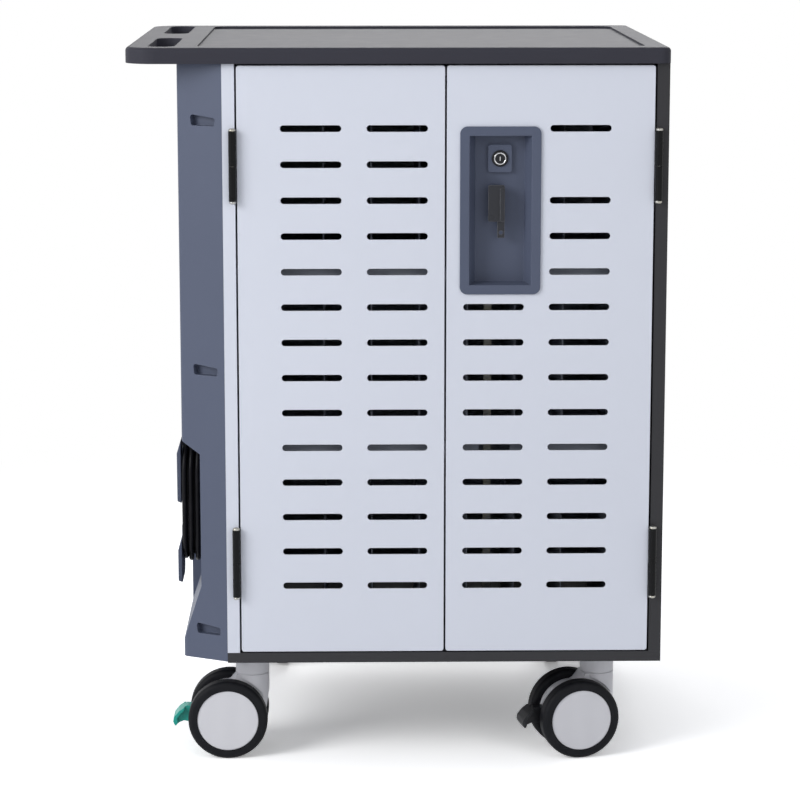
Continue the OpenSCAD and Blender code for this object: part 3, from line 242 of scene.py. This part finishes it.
# %% Gland boot
GLAND_FACE_Y = -0.040
GLAND_NOSE = GLAND_FACE_Y - LEAD[0][1]
FLANGE = [(0.0, 0.008), (0.0022, 0.008), (0.003, 0.0072)]
BOOT_FROM = 0.12
BOOT_ROWS = 90
BOOT_R = 0.0068
BOOT_TAPER = 0.0019
GROOVES = 6
GROOVE_DEPTH = 0.0009
share = np.linspace(BOOT_FROM, 1, BOOT_ROWS)
groove = 0.5 - 0.5 * np.cos(2 * np.pi * np.clip(share * GROOVES, 1, GROOVES))
boot_radius = BOOT_R - BOOT_TAPER * share - GROOVE_DEPTH * groove ** 3
boot = FLANGE + list(zip(share * GLAND_NOSE, boot_radius)) + [(GLAND_NOSE, CORD_D / 2)]
gland_start = (LEAD[0][0], GLAND_FACE_Y, LEAD[0][2])
boot_skin = skin(lathe(boot, gland_start, (0, -1, 0)))
gland = make_piece("gland_boot", [boot_skin], "cabinet", "black_plastic", sharp=60)
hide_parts("cord_gland")

# %% Plug
COLLAR = 0.008
RIDGES = 3
RIDGE_DEPTH = 0.10
NECK_R = 0.0052
NECK_GROWTH = 0.0022
GRIP = 0.044
GRIP_HALF = np.array([0.012, 0.016])
GROW_FROM = 0.6
GROW_TO = 0.32
SQUARE_POWER = 3.5
WAIST_AT = 0.45
WAIST_LEN = 0.009
WAIST_DEPTH = 0.09
RIM_AT = 0.97
RIM_DRAW = 0.09
PLUG_SIDES = 64
plug_top = np.array(TAIL[-1])
depth = np.concatenate([np.linspace(0, COLLAR, 40), COLLAR + GRIP * np.linspace(0.01, 0.96, 50),
                        COLLAR + GRIP * np.array([0.975, 0.99, 1.0])])
grown = np.clip((depth - GROW_FROM * COLLAR) / ((1 - GROW_FROM) * COLLAR + GROW_TO * GRIP), 0, 1)
grown = grown * grown * (3 - 2 * grown)
waist = 1 - WAIST_DEPTH * np.exp(-((depth - COLLAR - WAIST_AT * GRIP) / WAIST_LEN) ** 2)
ridge_wave = 0.5 - 0.5 * np.cos(2 * np.pi * RIDGES * depth / COLLAR)
ridges = 1 - RIDGE_DEPTH * (depth < COLLAR) * ridge_wave ** 2
past_rim = np.maximum(depth - COLLAR - RIM_AT * GRIP, 0)
rim = 1 - RIM_DRAW * past_rim / ((1 - RIM_AT) * GRIP)
neck = NECK_R + NECK_GROWTH * np.clip(depth / COLLAR, 0, 1)
half = (neck[:, None] + grown[:, None] * (GRIP_HALF - neck[:, None])) * (waist * ridges * rim)[:, None]
squareness = 2 / (2 + SQUARE_POWER * grown)
turn = np.linspace(0, 2 * np.pi, PLUG_SIDES, endpoint=False)
cosine, sine = np.cos(turn)[None], -np.sin(turn)[None]
round_x = np.sign(cosine) * np.abs(cosine) ** squareness[:, None]
round_y = np.sign(sine) * np.abs(sine) ** squareness[:, None]
plug_grid = plug_top + np.stack([half[:, :1] * round_x, half[:, 1:] * round_y,
                                 np.broadcast_to(-depth[:, None], round_x.shape)], axis=-1)
plug_body = make_piece("plug_body", [skin(plug_grid)], "cabinet", "black_plastic", sharp=50)
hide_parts("plug")

# %% Plug blades
BLADE = np.array([0.0015, 0.0065, 0.018])
BLADE_SPREAD = 0.006
GROUND_PIN = [(0.0, 0.0024), (0.016, 0.0024), (0.0175, 0.0018), (0.018, 0.0008)]
plug_face = plug_top - (0, 0, COLLAR + GRIP)
blade_feet = plug_face + BLADE_SPREAD * np.array([[-1, -1, 0], [1, -1, 0]])
blade_lows = blade_feet - BLADE * (0.5, 0.5, 1)
blade_skins = blocks(blade_lows, blade_lows + BLADE)
blade_skins.append(skin(lathe(GROUND_PIN, plug_face + (0, BLADE_SPREAD, 0), (0, 0, -1), sides=20)))
plug_blades = make_piece("plug_blades", blade_skins, "cabinet", "pin_steel")

# %% [markdown]
# ## The locks
# A cam lock shows three rings: a black bezel that is pressed into the recess, the polished rim of the
# cylinder, and the dark plug with its keyway. The bezel stays with the door. The rim, the plug and the
# keyway turn with the key, so they ride another body.

# %% Lock faces
KEY_R = 0.0095
KEYWAY_HALF = np.array([0.0007, 0.0012, 0.0031])
COLLAR_RING = [(-0.003, 0.0125), (-0.0012, 0.0125), (-0.0004, 0.0119), (-0.0004, 0.0103), (-0.002, 0.0098)]
RIM_RING = [(0.0, 0.0094), (0.0007, 0.0093), (0.0011, 0.0088), (0.0011, 0.0081), (0.0002, 0.0074)]
CORE = [(0.0002, 0.0075), (0.0005, 0.0070), (0.0008, 0.004), (0.0009, 0.0001)]


def lock_face(name, centre, out, door_body, key_body):
    """Rings about a lock's axis, each a small lathe: heights are above the cylinder's front face."""
    rings = [("_lock_collar", COLLAR_RING, door_body, "black_plastic"),
             ("_lock_rim", RIM_RING, key_body, "lock_chrome"),
             ("_lock_core", CORE, key_body, "black_plastic")]
    for ending, profile, body, slot in rings:
        make_piece(name + ending, [skin(lathe(profile, centre, out), caps=False)], body, slot, sharp=60)
    keyway = blocks(np.array(centre) - KEYWAY_HALF, np.array(centre) + KEYWAY_HALF)
    make_piece(name + "_keyway", keyway, key_body, "lock_chrome")


key_low, key_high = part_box("key_cylinder")
front_centre = ((key_low[0] + key_high[0]) / 2, key_low[1], key_high[2] - KEY_R)
lock_face("front", front_centre, (0, -1, 0), "right_door", "key")
key_low, key_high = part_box("rear_lock_cylinder")
rear_centre = ((key_low[0] + key_high[0]) / 2, key_high[1], key_high[2] - KEY_R)
lock_face("rear", rear_centre, (0, 1, 0), "rear_door", "rear_key")

# %% [markdown]
# ## The power strips
# Behind the partition, each strip holds a row of earthed sockets. A socket's face is a shallow dished
# disc in the strip's round pocket, with two blade slots and an earth hole. The slots and the hole are
# black blocks and discs, painted shade in place of openings. All of them are the same
# three shapes, so one loop over their places makes them.

# %% Sockets
SOCKETS = 9
STRIP_LEN = 0.520
STRIP_H = 0.046
STRIP_LIFT = 0.090
FACE_SINK = 0.0088
DISH = [(0.0, 0.0165), (0.0016, 0.0162), (0.0022, 0.0155), (0.0014, 0.013), (0.0014, 0.0001)]
BLADE_SLOT = np.array([0.002, 0.0016, 0.007])
SLOT_LOWS = np.array([[-0.0073, 0, -0.0005], [0.0053, 0, -0.0005]])
EARTH_HOLE = [(0.0, 0.0024), (0.0016, 0.0024), (0.0016, 0.0001)]
EARTH_DROP = 0.007
strip_low, strip_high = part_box("power_strips")
socket_x = (strip_low[0] + strip_high[0]) / 2 + STRIP_LEN * ((np.arange(SOCKETS) + 0.5) / SOCKETS - 0.5)
shelf_tops = [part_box("lower_shelf")[1][2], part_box("upper_shelf")[1][2]]
strip_feet = np.array([strip_low[2]] + [top + STRIP_LIFT for top in shelf_tops])
face_y = strip_high[1] - FACE_SINK
face_skins, slot_shade_skins = [], []
for x in socket_x:
    for z in strip_feet + STRIP_H / 2:
        centre = np.array([x, face_y, z])
        face_skins.append(skin(lathe(DISH, centre, (0, 1, 0), sides=28), caps=False))
        # Black blocks and discs for the blade slots and earth hole: painted shade in place of openings.
        slot_shade_skins += blocks(centre + SLOT_LOWS, centre + SLOT_LOWS + BLADE_SLOT)
        earth = lathe(EARTH_HOLE, centre - (0, 0, EARTH_DROP), (0, 1, 0), sides=14)
        slot_shade_skins.append(skin(earth, caps=False))
make_piece("socket_faces", face_skins, "cabinet", "steel_grey")
make_piece("socket_slots_painted_shade", slot_shade_skins, "cabinet", "black_plastic")

# %% [markdown]
# ## The charge controller
# The box under the middle strip shares the current out among the three strips. Its rear face carries a
# plate with a rocker switch, three reset buttons and a row of cooling slots. All are a few millimetres
# high, so plain blocks and short lathes show them well enough from the open door. The slots are thin
# black blocks on the plate, painted shade in place of openings.

# %% Controller face
PLATE_EDGE = 0.010
PLATE_T = 0.0015
box_low, box_high = np.array(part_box("charge_controller"))
face = (box_low + box_high) / 2
face[1] = box_high[1]
plate_half = (box_high - box_low) / 2 - PLATE_EDGE
plate_half[1] = 0
plate_skins = blocks(face - plate_half, face + plate_half + (0, PLATE_T, 0))
make_piece("controller_plate", plate_skins, "cabinet", "steel_grey")

# %% Controller fittings
SLITS = 13
SLIT = np.array([0.003, 0.0004, 0.028])
SLIT_REACH = 0.06
SLIT_FOOT = 0.012
ROW_DROP = 0.024
ROCKER_X = np.array([0.046, 0.062])
ROCKER_HALF = 0.011
ROCKER_T = 0.0045
ROCKER_TURN = np.radians(9)
BUTTON_X = np.array([-0.055, -0.03, -0.005])
BUTTON = [(0.0, 0.0065), (0.002, 0.0065), (0.002, 0.0045), (0.006, 0.0045), (0.0068, 0.0038), (0.007, 0.0001)]
on_plate = face + (0, PLATE_T, 0)
# The slits are thin black blocks on the plate: painted shade standing for the cooling openings.
slit_x = np.linspace(-SLIT_REACH, SLIT_REACH, SLITS)
slit_low = on_plate + np.stack([slit_x - SLIT[0] / 2, 0 * slit_x, 0 * slit_x + SLIT_FOOT], axis=-1)
slit_shade_skins = blocks(slit_low, slit_low + SLIT)
rocker_x = ROCKER_X[:, None]
rocker_y = ROCKER_T * np.array([0, 0, 1, 1]) + np.array([0, 0, 1, -1]) * ROCKER_HALF * np.tan(ROCKER_TURN)
rocker_z = ROCKER_HALF * np.array([-1, 1, 1, -1])
rocker_grid = on_plate + np.stack([rocker_x + 0 * rocker_y, rocker_y + 0 * rocker_x,
                                   rocker_z - ROW_DROP + 0 * rocker_x], axis=-1)
button_places = on_plate + np.stack([BUTTON_X, 0 * BUTTON_X, 0 * BUTTON_X - ROW_DROP], axis=-1)
button_skins = [skin(lathe(BUTTON, place, (0, 1, 0), sides=24)) for place in button_places]
make_piece("controller_fittings_and_slit_shade", slit_shade_skins + [skin(rocker_grid)] + button_skins, "cabinet",
           "black_plastic")

# %% [markdown]
# ## Screws
# The right side panel is screwed to its two posts, and the side cover to the cabinet. A pan head is a low
# dome with a square socket in its crown, so that nothing catches a sleeve. The dome is a lathe, and the
# socket is a dark block let into it, painted shade in place of the recess.

# %% Screw heads
SCREW_R = 0.0048
SCREW_H = 0.0009
SCREW_EDGE = 0.055
SOCKET_RISE = 0.52
SOCKET_SHARE = 0.36
SIDE_ROWS = 6
COVER_Y = 0.25
COVER_MID_Z = 0.62
COVER_LOW_Z = 0.225


def screw_heads(name, places, out, slot):
    """A dome and a dark socket block, painted shade for the recess, at each place: the dome is half an
    ellipse, turned about the screw's line.
    """
    out = np.array(out, float)
    radius = np.linspace(1, 0.02, 10)
    dome = np.stack([SCREW_H * (1 - radius ** 2) ** 0.5, SCREW_R * radius], axis=-1)
    half = np.where(np.abs(out) > 0.5, SCREW_H * SOCKET_RISE, SCREW_R * SOCKET_SHARE)
    middles = places + out * SCREW_H * SOCKET_RISE
    make_piece(name, [skin(lathe(dome, place, out, sides=24)) for place in places], "cabinet", slot)
    # The dark socket blocks are painted shade standing for the recesses.
    make_piece(name + "_socket_shade", blocks(middles - half, middles + half), "cabinet", "black_plastic")


panel_low, panel_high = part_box("right_side_panel")
front_low, front_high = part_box("right_front_post")
post_mid = (front_low[1] + front_high[1]) / 2
side_z = np.linspace(panel_low[2] + SCREW_EDGE, panel_high[2] - SCREW_EDGE, SIDE_ROWS)
side_places = np.array([(panel_high[0], y, z) for y in (post_mid, -post_mid) for z in side_z])
screw_heads("side_screws", side_places, (1, 0, 0), "pin_steel")
cover_low, cover_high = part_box("left_side_cover")
cover_z = [cover_high[2] - SCREW_EDGE, COVER_MID_Z]
cover_yz = [(y, z) for y in (-COVER_Y, COVER_Y) for z in cover_z] + [(COVER_Y, COVER_LOW_Z)]
cover_places = np.array([(cover_low[0], y, z) for y, z in cover_yz])
screw_heads("cover_screws", cover_places, (-1, 0, 0), "black_plastic")

# %% [markdown]
# ## Hinge caps
# A lift-off hinge turns on a plated pin, and a domed cap closes each end of the barrel. The caps are what
# shines on an otherwise black hinge. One profile, turned about the pin's line, makes both: upwards over
# the top of a barrel and downwards under its foot.

# %% Hinge caps
HINGE_AXES = [(-0.2485, -0.338), (0.3925, -0.338), (0.3925, 0.338)]
HINGE_LEVELS = [0.329, 0.941]
BARREL_HALF = 0.0525
CAP_GAP = 0.0004
CAP = [(0.0, 0.0050), (0.0006, 0.0055), (0.0022, 0.0053), (0.0034, 0.0044), (0.0041, 0.0028),
       (0.0043, 0.0001)]
cap_skins = []
for x, y in HINGE_AXES:
    for level in HINGE_LEVELS:
        for up in (1, -1):
            foot = (x, y, level + up * (BARREL_HALF + CAP_GAP))
            cap_skins.append(skin(lathe(CAP, foot, (0, 0, up), sides=32)))
make_piece("hinge_caps", cap_skins, "cabinet", "pin_steel", sharp=50)

# %% [markdown]
# ## Light and floor
# A product photograph like this is lit by large soft boxes in a white room. The world gives the even
# part of that light, and shows as plain white to the camera, in mirrors and through clear pieces. The
# shadows in the latch recess fall far to the right, so the main soft box stands well to the left. The
# floor is white too: the camera sees it a little brighter than the light it passes on, so that it joins
# the backdrop and keeps only soft shadows.


# %% Colour and node helpers
def srgb(code, scale=1.0):
    """Linear colour of an sRGB hex code: each channel over 0.04045 is ((c + 0.055) / 1.055) to the 2.4."""
    c = np.array([int(code[i:i + 2], 16) / 255 for i in (1, 3, 5)])
    linear = np.where(c > 0.04045, ((c + 0.055) / 1.055) ** 2.4, c / 12.92)
    return (*np.clip(linear * scale, 0, 1).tolist(), 1.0)


def add(tree, kind, sockets=None, **settings):
    """Adds a node with its settings. Sockets take a value, or another node's output to link."""
    node = tree.nodes.new(kind)
    for name, value in settings.items():
        setattr(node, name, value)
    for name, value in (sockets or {}).items():
        if isinstance(value, bpy.types.NodeSocket):
            tree.links.new(value, node.inputs[name])
        else:
            node.inputs[name].default_value = value
    return node


def seen_rays(tree):
    """One for the rays that show the backdrop, which are camera, mirror and see-through rays, else zero."""
    ray = add(tree, "ShaderNodeLightPath")
    either = add(tree, "ShaderNodeMath", {0: ray.outputs["Is Camera Ray"], 1: ray.outputs["Is Glossy Ray"]},
                 operation="MAXIMUM")
    through = ray.outputs["Is Transmission Ray"]
    return add(tree, "ShaderNodeMath", {0: either.outputs[0], 1: through}, operation="MAXIMUM").outputs[0]


# %% World
AMBIENT = 0.46
WHITE = srgb("#FFFFFF")
world = bpy.data.worlds.new("white_studio")
world.use_nodes = True
scene.world = world
sky = world.node_tree
sky.nodes.clear()
even = add(sky, "ShaderNodeBackground", {"Color": srgb("#F8FAFF"), "Strength": AMBIENT})
white = add(sky, "ShaderNodeBackground", {"Color": WHITE, "Strength": 1.0})
mix = add(sky, "ShaderNodeMixShader", {0: seen_rays(sky), 1: even.outputs[0], 2: white.outputs[0]})
add(sky, "ShaderNodeOutputWorld", {"Surface": mix.outputs[0]})
scene.view_settings.view_transform = "Standard"
print("even light", AMBIENT)

# %% Lamps
LIT_POINT = (0, 0, 0.6)


def soft_box(name, place, size, power):
    """A square area lamp that faces the middle of the cart."""
    lamp = bpy.data.objects.new(name, bpy.data.lights.new(name, "AREA"))
    scene.collection.objects.link(lamp)
    lamp.data.size = size
    lamp.data.energy = power
    lamp.location = place
    away = np.subtract(place, LIT_POINT)
    flat = np.hypot(away[0], away[1])
    lamp.rotation_euler = (np.arctan2(flat, away[2]), 0, np.arctan2(away[0], -away[1]))
    print(name, power, "W")


soft_box("key_soft_box", (-3.4, -2.6, 2.4), 2.2, 122)
soft_box("fill_soft_box", (2.2, -3.8, 2.2), 2.4, 24)
soft_box("back_soft_box", (0.4, 3.4, 2.8), 2.6, 60)

# %% Floor
FLOOR_RADII = np.array([0.001, 6.0])
FLOOR_SIDES = 96
FADE_FROM, FADE_TO = 0.9, 2.2
LIFT = 0.22
PAPER_ALBEDO = 0.88
PAPER_SEEN = 1.4
rings = FLOOR_RADII[:, None]
turn = np.linspace(0, 2 * np.pi, FLOOR_SIDES, endpoint=False)
floor_grid = np.stack([rings * np.cos(turn), rings * np.sin(turn), 0 * rings * turn], axis=-1)
floor_points, floor_faces = skin(floor_grid[::-1], caps=False)
floor_mesh = bpy.data.meshes.new("studio_floor")
floor_mesh.from_pydata(floor_points.tolist(), [], floor_faces)
floor = bpy.data.objects.new("studio_floor", floor_mesh)
scene.collection.objects.link(floor)
print("floor", len(floor_points), "points")

# %% Backdrop paper
paper = bpy.data.materials.new("white_backdrop_paper")
paper.use_nodes = True
tree = paper.node_tree
tree.nodes.clear()
place = add(tree, "ShaderNodeTexCoord")
reach = add(tree, "ShaderNodeVectorMath", {0: place.outputs["Object"]}, operation="LENGTH")
fade = add(tree, "ShaderNodeMapRange", {"Value": reach.outputs["Value"], "From Min": FADE_FROM,
                                        "From Max": FADE_TO}, interpolation_type="SMOOTHSTEP")
seen = seen_rays(tree)
away = add(tree, "ShaderNodeMath", {0: fade.outputs[0], 1: seen}, operation="MULTIPLY")
lift = add(tree, "ShaderNodeMath", {0: seen, 1: LIFT}, operation="MULTIPLY")
shade = add(tree, "ShaderNodeMapRange", {"Value": seen, "To Min": PAPER_ALBEDO, "To Max": PAPER_SEEN})
matte = add(tree, "ShaderNodeBsdfDiffuse", {"Color": shade.outputs[0]})
glow = add(tree, "ShaderNodeEmission", {"Color": WHITE, "Strength": lift.outputs[0]})
near = add(tree, "ShaderNodeAddShader", {0: matte.outputs[0], 1: glow.outputs[0]})
far = add(tree, "ShaderNodeEmission", {"Color": WHITE, "Strength": 1.0})
both = add(tree, "ShaderNodeMixShader", {0: away.outputs[0], 1: near.outputs[0], 2: far.outputs[0]})
add(tree, "ShaderNodeOutputMaterial", {"Surface": both.outputs[0]})
floor_mesh.materials.append(paper)
print("finish", paper.name)

# %% [markdown]
# ## What every finish shares
# No real edge is perfectly sharp, and no real surface is one flat colour. So every finish here starts the
# same way. A Bevel node rounds the shading at edges, and where its normal differs from the face's own
# normal there is an edge, which is where coats thin out and plastic polishes. There the edge colour is
# mixed in: wear, and on the lever a painted highlight as well. A slow noise shifts the
# colour and the gloss by a few hundredths, as wiping and handling do, and a fine noise gives the grain.

# %% The base of a finish
EDGE_FROM, EDGE_FULL = 0.99, 0.8
PATCH_LOW, PATCH_HIGH = 0.35, 0.6
LEAST_WEAR_AND_HIGHLIGHT = 0.3
CLOUD_LOW, CLOUD_HIGH = 0.3, 0.7
GLOSS_SWING = 0.04


def finish(name, code, edge_code, rough, cloud_mm, grain_mm, grain_depth_mm, edge_mm, wear_and_highlight, metallic=0.0,
           variation=0.04, shine=0.26):
    """Makes a material and returns it with its tree, shader and coordinates, and with what a finish may
    build on: the colour, the grain, the bump and the slow noise. Lengths are in millimetres. Shine is the
    specular level, where 0.5 is bare plastic and a matt or dusty skin has less."""
    material = bpy.data.materials.new(name)
    material.use_nodes = True
    tree = material.node_tree
    tree.nodes.clear()
    place = add(tree, "ShaderNodeTexCoord").outputs["Object"]
    cloud = add(tree, "ShaderNodeTexNoise", {"Vector": place, "Scale": 1 / (cloud_mm * MM), "Detail": 4.0})
    grain = add(tree, "ShaderNodeTexNoise", {"Vector": place, "Scale": 1 / (grain_mm * MM), "Detail": 2.0})
    bevel = add(tree, "ShaderNodeBevel", {"Radius": edge_mm * MM}, samples=4)
    flat = add(tree, "ShaderNodeNewGeometry")
    facing = add(tree, "ShaderNodeVectorMath", {0: bevel.outputs[0], 1: flat.outputs["Normal"]},
                 operation="DOT_PRODUCT")
    edge = add(tree, "ShaderNodeMapRange", {"Value": facing.outputs["Value"], "From Min": EDGE_FROM,
                                            "From Max": EDGE_FULL})
    patchy = add(tree, "ShaderNodeMapRange", {"Value": cloud.outputs[0], "From Min": PATCH_LOW,
                                              "From Max": PATCH_HIGH, "To Min": LEAST_WEAR_AND_HIGHLIGHT * wear_and_highlight,
                                              "To Max": wear_and_highlight})
    # Edge colour mask: wear, and on the lever also a painted highlight.
    edge_wear_and_highlight = add(tree, "ShaderNodeMath", {0: edge.outputs[0], 1: patchy.outputs[0]}, operation="MULTIPLY")
    tint = add(tree, "ShaderNodeMix", {0: cloud.outputs[0], 6: srgb(code, 1 - variation),
                                       7: srgb(code, 1 + variation)}, data_type="RGBA")
    colour = add(tree, "ShaderNodeMix", {0: edge_wear_and_highlight.outputs[0], 6: tint.outputs[2], 7: srgb(edge_code)},
                 data_type="RGBA")
    gloss = add(tree, "ShaderNodeMapRange", {"Value": cloud.outputs[0], "From Min": CLOUD_LOW,
                                             "From Max": CLOUD_HIGH, "To Min": rough - GLOSS_SWING,
                                             "To Max": rough + GLOSS_SWING})
    bump = add(tree, "ShaderNodeBump", {"Height": grain.outputs[0], "Distance": grain_depth_mm * MM,
                                        "Normal": bevel.outputs[0]})
    shader = add(tree, "ShaderNodeBsdfPrincipled", {"Base Color": colour.outputs[2], "Metallic": metallic,
                                                    "Roughness": gloss.outputs[0],
                                                    "Specular IOR Level": shine,
                                                    "Normal": bump.outputs[0]})
    add(tree, "ShaderNodeOutputMaterial", {"Surface": shader.outputs[0]})
    print("finish", name)
    return {"material": material, "tree": tree, "shader": shader, "place": place, "colour": colour.outputs[2],
            "grain": grain.outputs[0], "bump": bump, "cloud": cloud.outputs[0]}


# %% [markdown]
# ## Powder coat
# The doors, posts, pan, shelves and panels are folded sheet steel with a baked powder coat. The powder
# melts into a skin with a faint orange peel, a few millimetres across, and thins at the folds. To the eye
# it gives broad soft highlights that break up slightly.

# %% Powder coats
PEEL_MM = 2.4
PEEL_SHARE = 2.0


def powder_coat(name, code, edge_code, wear_and_highlight):
    """Orange peel is a second, wider noise under the grain: their sum is the height."""
    made = finish(name, code, edge_code, rough=0.46, cloud_mm=320, grain_mm=0.5, grain_depth_mm=0.02,
                  edge_mm=1.2, wear_and_highlight=wear_and_highlight, variation=0.02)
    tree = made["tree"]
    peel = add(tree, "ShaderNodeTexNoise", {"Vector": made["place"], "Scale": 1 / (PEEL_MM * MM),
                                            "Detail": 1.0})
    height = add(tree, "ShaderNodeMath", {0: peel.outputs[0], 1: PEEL_SHARE, 2: made["grain"]},
                 operation="MULTIPLY_ADD")
    tree.links.new(height.outputs[0], made["bump"].inputs["Height"])
    return made["material"]


materials = {
    "steel_white": powder_coat("white_powder_coat", "#D3D7E2", "#E6E9F0", wear_and_highlight=0.5),
    "steel_dark": powder_coat("charcoal_powder_coat", "#2E2E31", "#4E4E53", wear_and_highlight=0.6),
    "steel_grey": powder_coat("grey_powder_coat", "#B2B7C4", "#C4C8D2", wear_and_highlight=0.5),
}

# %% [markdown]
# ## Moulded ABS
# The worktop, the side cover, the cord wrap and the latch bezel are moulded. Their mould was etched, so
# the skin is a field of tiny pits that keeps it matt, and wiping polishes the high spots. A Voronoi
# pattern has the right cells for such a skin.

# %% Moulded plastics
HAIR_MM = 1.5
HAIR_STRETCH = (0.05, 1.0, 1.0)
HAIR_GLOSS, HAIR_DULL = 0.05, 0.06


def moulded_abs(name, code, edge_code, rough, pit_mm, shine):
    """Pits are the distance to the nearest Voronoi point. Fine hair scratches run mostly one way: noise
    that is stretched twenty times along X shifts the gloss."""
    made = finish(name, code, edge_code, rough, cloud_mm=180, grain_mm=pit_mm, grain_depth_mm=0.03,
                  edge_mm=1.6, wear_and_highlight=0.5, variation=0.03, shine=shine)
    tree = made["tree"]
    pits = add(tree, "ShaderNodeTexVoronoi", {"Vector": made["place"], "Scale": 1 / (pit_mm * MM)})
    tree.links.new(pits.outputs["Distance"], made["bump"].inputs["Height"])
    stretched = add(tree, "ShaderNodeMapping", {"Vector": made["place"], "Scale": HAIR_STRETCH})
    hair = add(tree, "ShaderNodeTexNoise", {"Vector": stretched.outputs[0], "Scale": 1 / (HAIR_MM * MM),
                                            "Detail": 3.0})
    lines = add(tree, "ShaderNodeMapRange", {"Value": hair.outputs[0], "From Min": CLOUD_LOW,
                                             "From Max": CLOUD_HIGH, "To Min": rough - HAIR_GLOSS,
                                             "To Max": rough + HAIR_DULL})
    tree.links.new(lines.outputs[0], made["shader"].inputs["Roughness"])
    return made["material"]


materials["worktop"] = moulded_abs("worktop_abs", "#383840", "#55545E", rough=0.55, pit_mm=0.9, shine=0.1)
materials["slate_plastic"] = moulded_abs("slate_abs", "#51586B", "#6D7489", rough=0.46, pit_mm=0.8,
                                         shine=0.25)

# %% [markdown]
# ## Nylon, tyre and cord
# Caster housings, hubs and pedals are glass-filled nylon: smooth, with faint flow marks from the mould.
# The tyres are a soft polyurethane, darker and duller, that picks up pale dust. The cord's PVC jacket is
# nearly black with a satin shine that shows each turn of the winding as a thin bright line.

# %% Nylons
FLOW_MM = 140
FLOW_SHARE = 0.12


def nylon(name, code, edge_code, rough):
    """Flow marks are bands of a wave pattern, bent by noise, that lighten the colour by a little."""
    made = finish(name, code, edge_code, rough, cloud_mm=60, grain_mm=0.7, grain_depth_mm=0.015, edge_mm=1.4,
                  wear_and_highlight=0.45, variation=0.03)
    tree = made["tree"]
    flow = add(tree, "ShaderNodeTexWave", {"Vector": made["place"], "Scale": 1 / (FLOW_MM * MM),
                                           "Distortion": 6.0, "Detail": 2.0})
    faint = add(tree, "ShaderNodeMath", {0: flow.outputs["Fac"], 1: FLOW_SHARE}, operation="MULTIPLY")
    marked = add(tree, "ShaderNodeMix", {0: faint.outputs[0], 6: made["colour"], 7: srgb(edge_code)},
                 data_type="RGBA")
    tree.links.new(marked.outputs[2], made["shader"].inputs["Base Color"])
    return made["material"]


materials["caster_grey"] = nylon("caster_nylon", "#D2D2D7", "#E2E2E6", rough=0.4)
materials["teal_plastic"] = nylon("teal_nylon", "#1F9C8E", "#56C4B6", rough=0.36)
materials["black_plastic"] = nylon("black_nylon", "#131418", "#303238", rough=0.42)

# %% Tyre and cord
DUST_LOW, DUST_HIGH = 0.45, 0.75


def dusty(name, code, dust_code, rough, dust):
    """Dust is the slow noise, sharpened, that mixes a pale colour over the rubber."""
    made = finish(name, code, dust_code, rough, cloud_mm=25, grain_mm=0.4, grain_depth_mm=0.02, edge_mm=1.0,
                  wear_and_highlight=0.3, variation=0.06, shine=0.13)
    tree = made["tree"]
    patches = add(tree, "ShaderNodeMapRange", {"Value": made["cloud"], "From Min": DUST_LOW,
                                               "From Max": DUST_HIGH, "To Max": dust})
    dulled = add(tree, "ShaderNodeMix", {0: patches.outputs[0], 6: made["colour"], 7: srgb(dust_code)},
                 data_type="RGBA")
    tree.links.new(dulled.outputs[2], made["shader"].inputs["Base Color"])
    return made["material"]


materials["tyre"] = dusty("tyre_polyurethane", "#111216", "#3E3E40", rough=0.55, dust=0.10)
materials["cord"] = dusty("cord_pvc", "#0D0D11", "#3A3A3E", rough=0.42, dust=0.08)

# %% [markdown]
# ## Metals
# The hinges are dipped in black e-coat, a thin gloss paint that wears to steel at the edges. Pins, rods and
# bolts are zinc plated, with a faint yellow and blue bloom. The lock is chromed, and the lever is a zinc
# casting under satin paint, whose edges are rubbed by fingers; their pale edge colour is also a painted
# highlight.

# %% Hinge and lever
hinge_coat = finish("black_e_coat", "#0C0D0F", "#5A5A5A", rough=0.28, cloud_mm=40, grain_mm=0.6,
                    grain_depth_mm=0.01, edge_mm=0.8, wear_and_highlight=0.35, shine=0.14)
materials["hinge"] = hinge_coat["material"]
# Pale, wide edges on the lever: rubbed paint and a painted highlight.
lever_paint = finish("satin_die_cast_painted_highlight", "#2F3035", "#8E9096", rough=0.3, cloud_mm=30, grain_mm=0.5,
                     grain_depth_mm=0.02, edge_mm=1.6, wear_and_highlight=0.6, shine=0.22)
materials["lever"] = lever_paint["material"]

# %% Zinc and chrome
zinc = finish("zinc_plate", "#A8A69C", "#D0CEC4", rough=0.34, cloud_mm=12, grain_mm=0.3,
              grain_depth_mm=0.004, edge_mm=0.6, wear_and_highlight=0.5, metallic=1.0)
bloom = add(zinc["tree"], "ShaderNodeValToRGB", {0: zinc["cloud"]})
bloom.color_ramp.elements[0].color = srgb("#A3A5AA")
bloom.color_ramp.elements[0].position = CLOUD_LOW
bloom.color_ramp.elements[1].color = srgb("#ACA898")
bloom.color_ramp.elements[1].position = CLOUD_HIGH
zinc["tree"].links.new(bloom.outputs[0], zinc["shader"].inputs["Base Color"])
materials["pin_steel"] = zinc["material"]
chrome = finish("chrome_plate", "#C9C9CB", "#E4E4E4", rough=0.12, cloud_mm=8, grain_mm=0.2,
                grain_depth_mm=0.001, edge_mm=0.4, wear_and_highlight=0.3, metallic=1.0)
materials["lock_chrome"] = chrome["material"]

# %% Put the finishes on
for part in frame["record"]["subparts"]:
    node = frame["nodes"][part["node"]]
    node.data.materials.clear()
    node.data.materials.append(materials[part["material_slot"]])
for piece, slot in made_pieces:
    piece.data.materials.append(materials[slot])
print(len(materials), "finishes on", len(frame["nodes"]), "nodes and", len(made_pieces), "pieces")
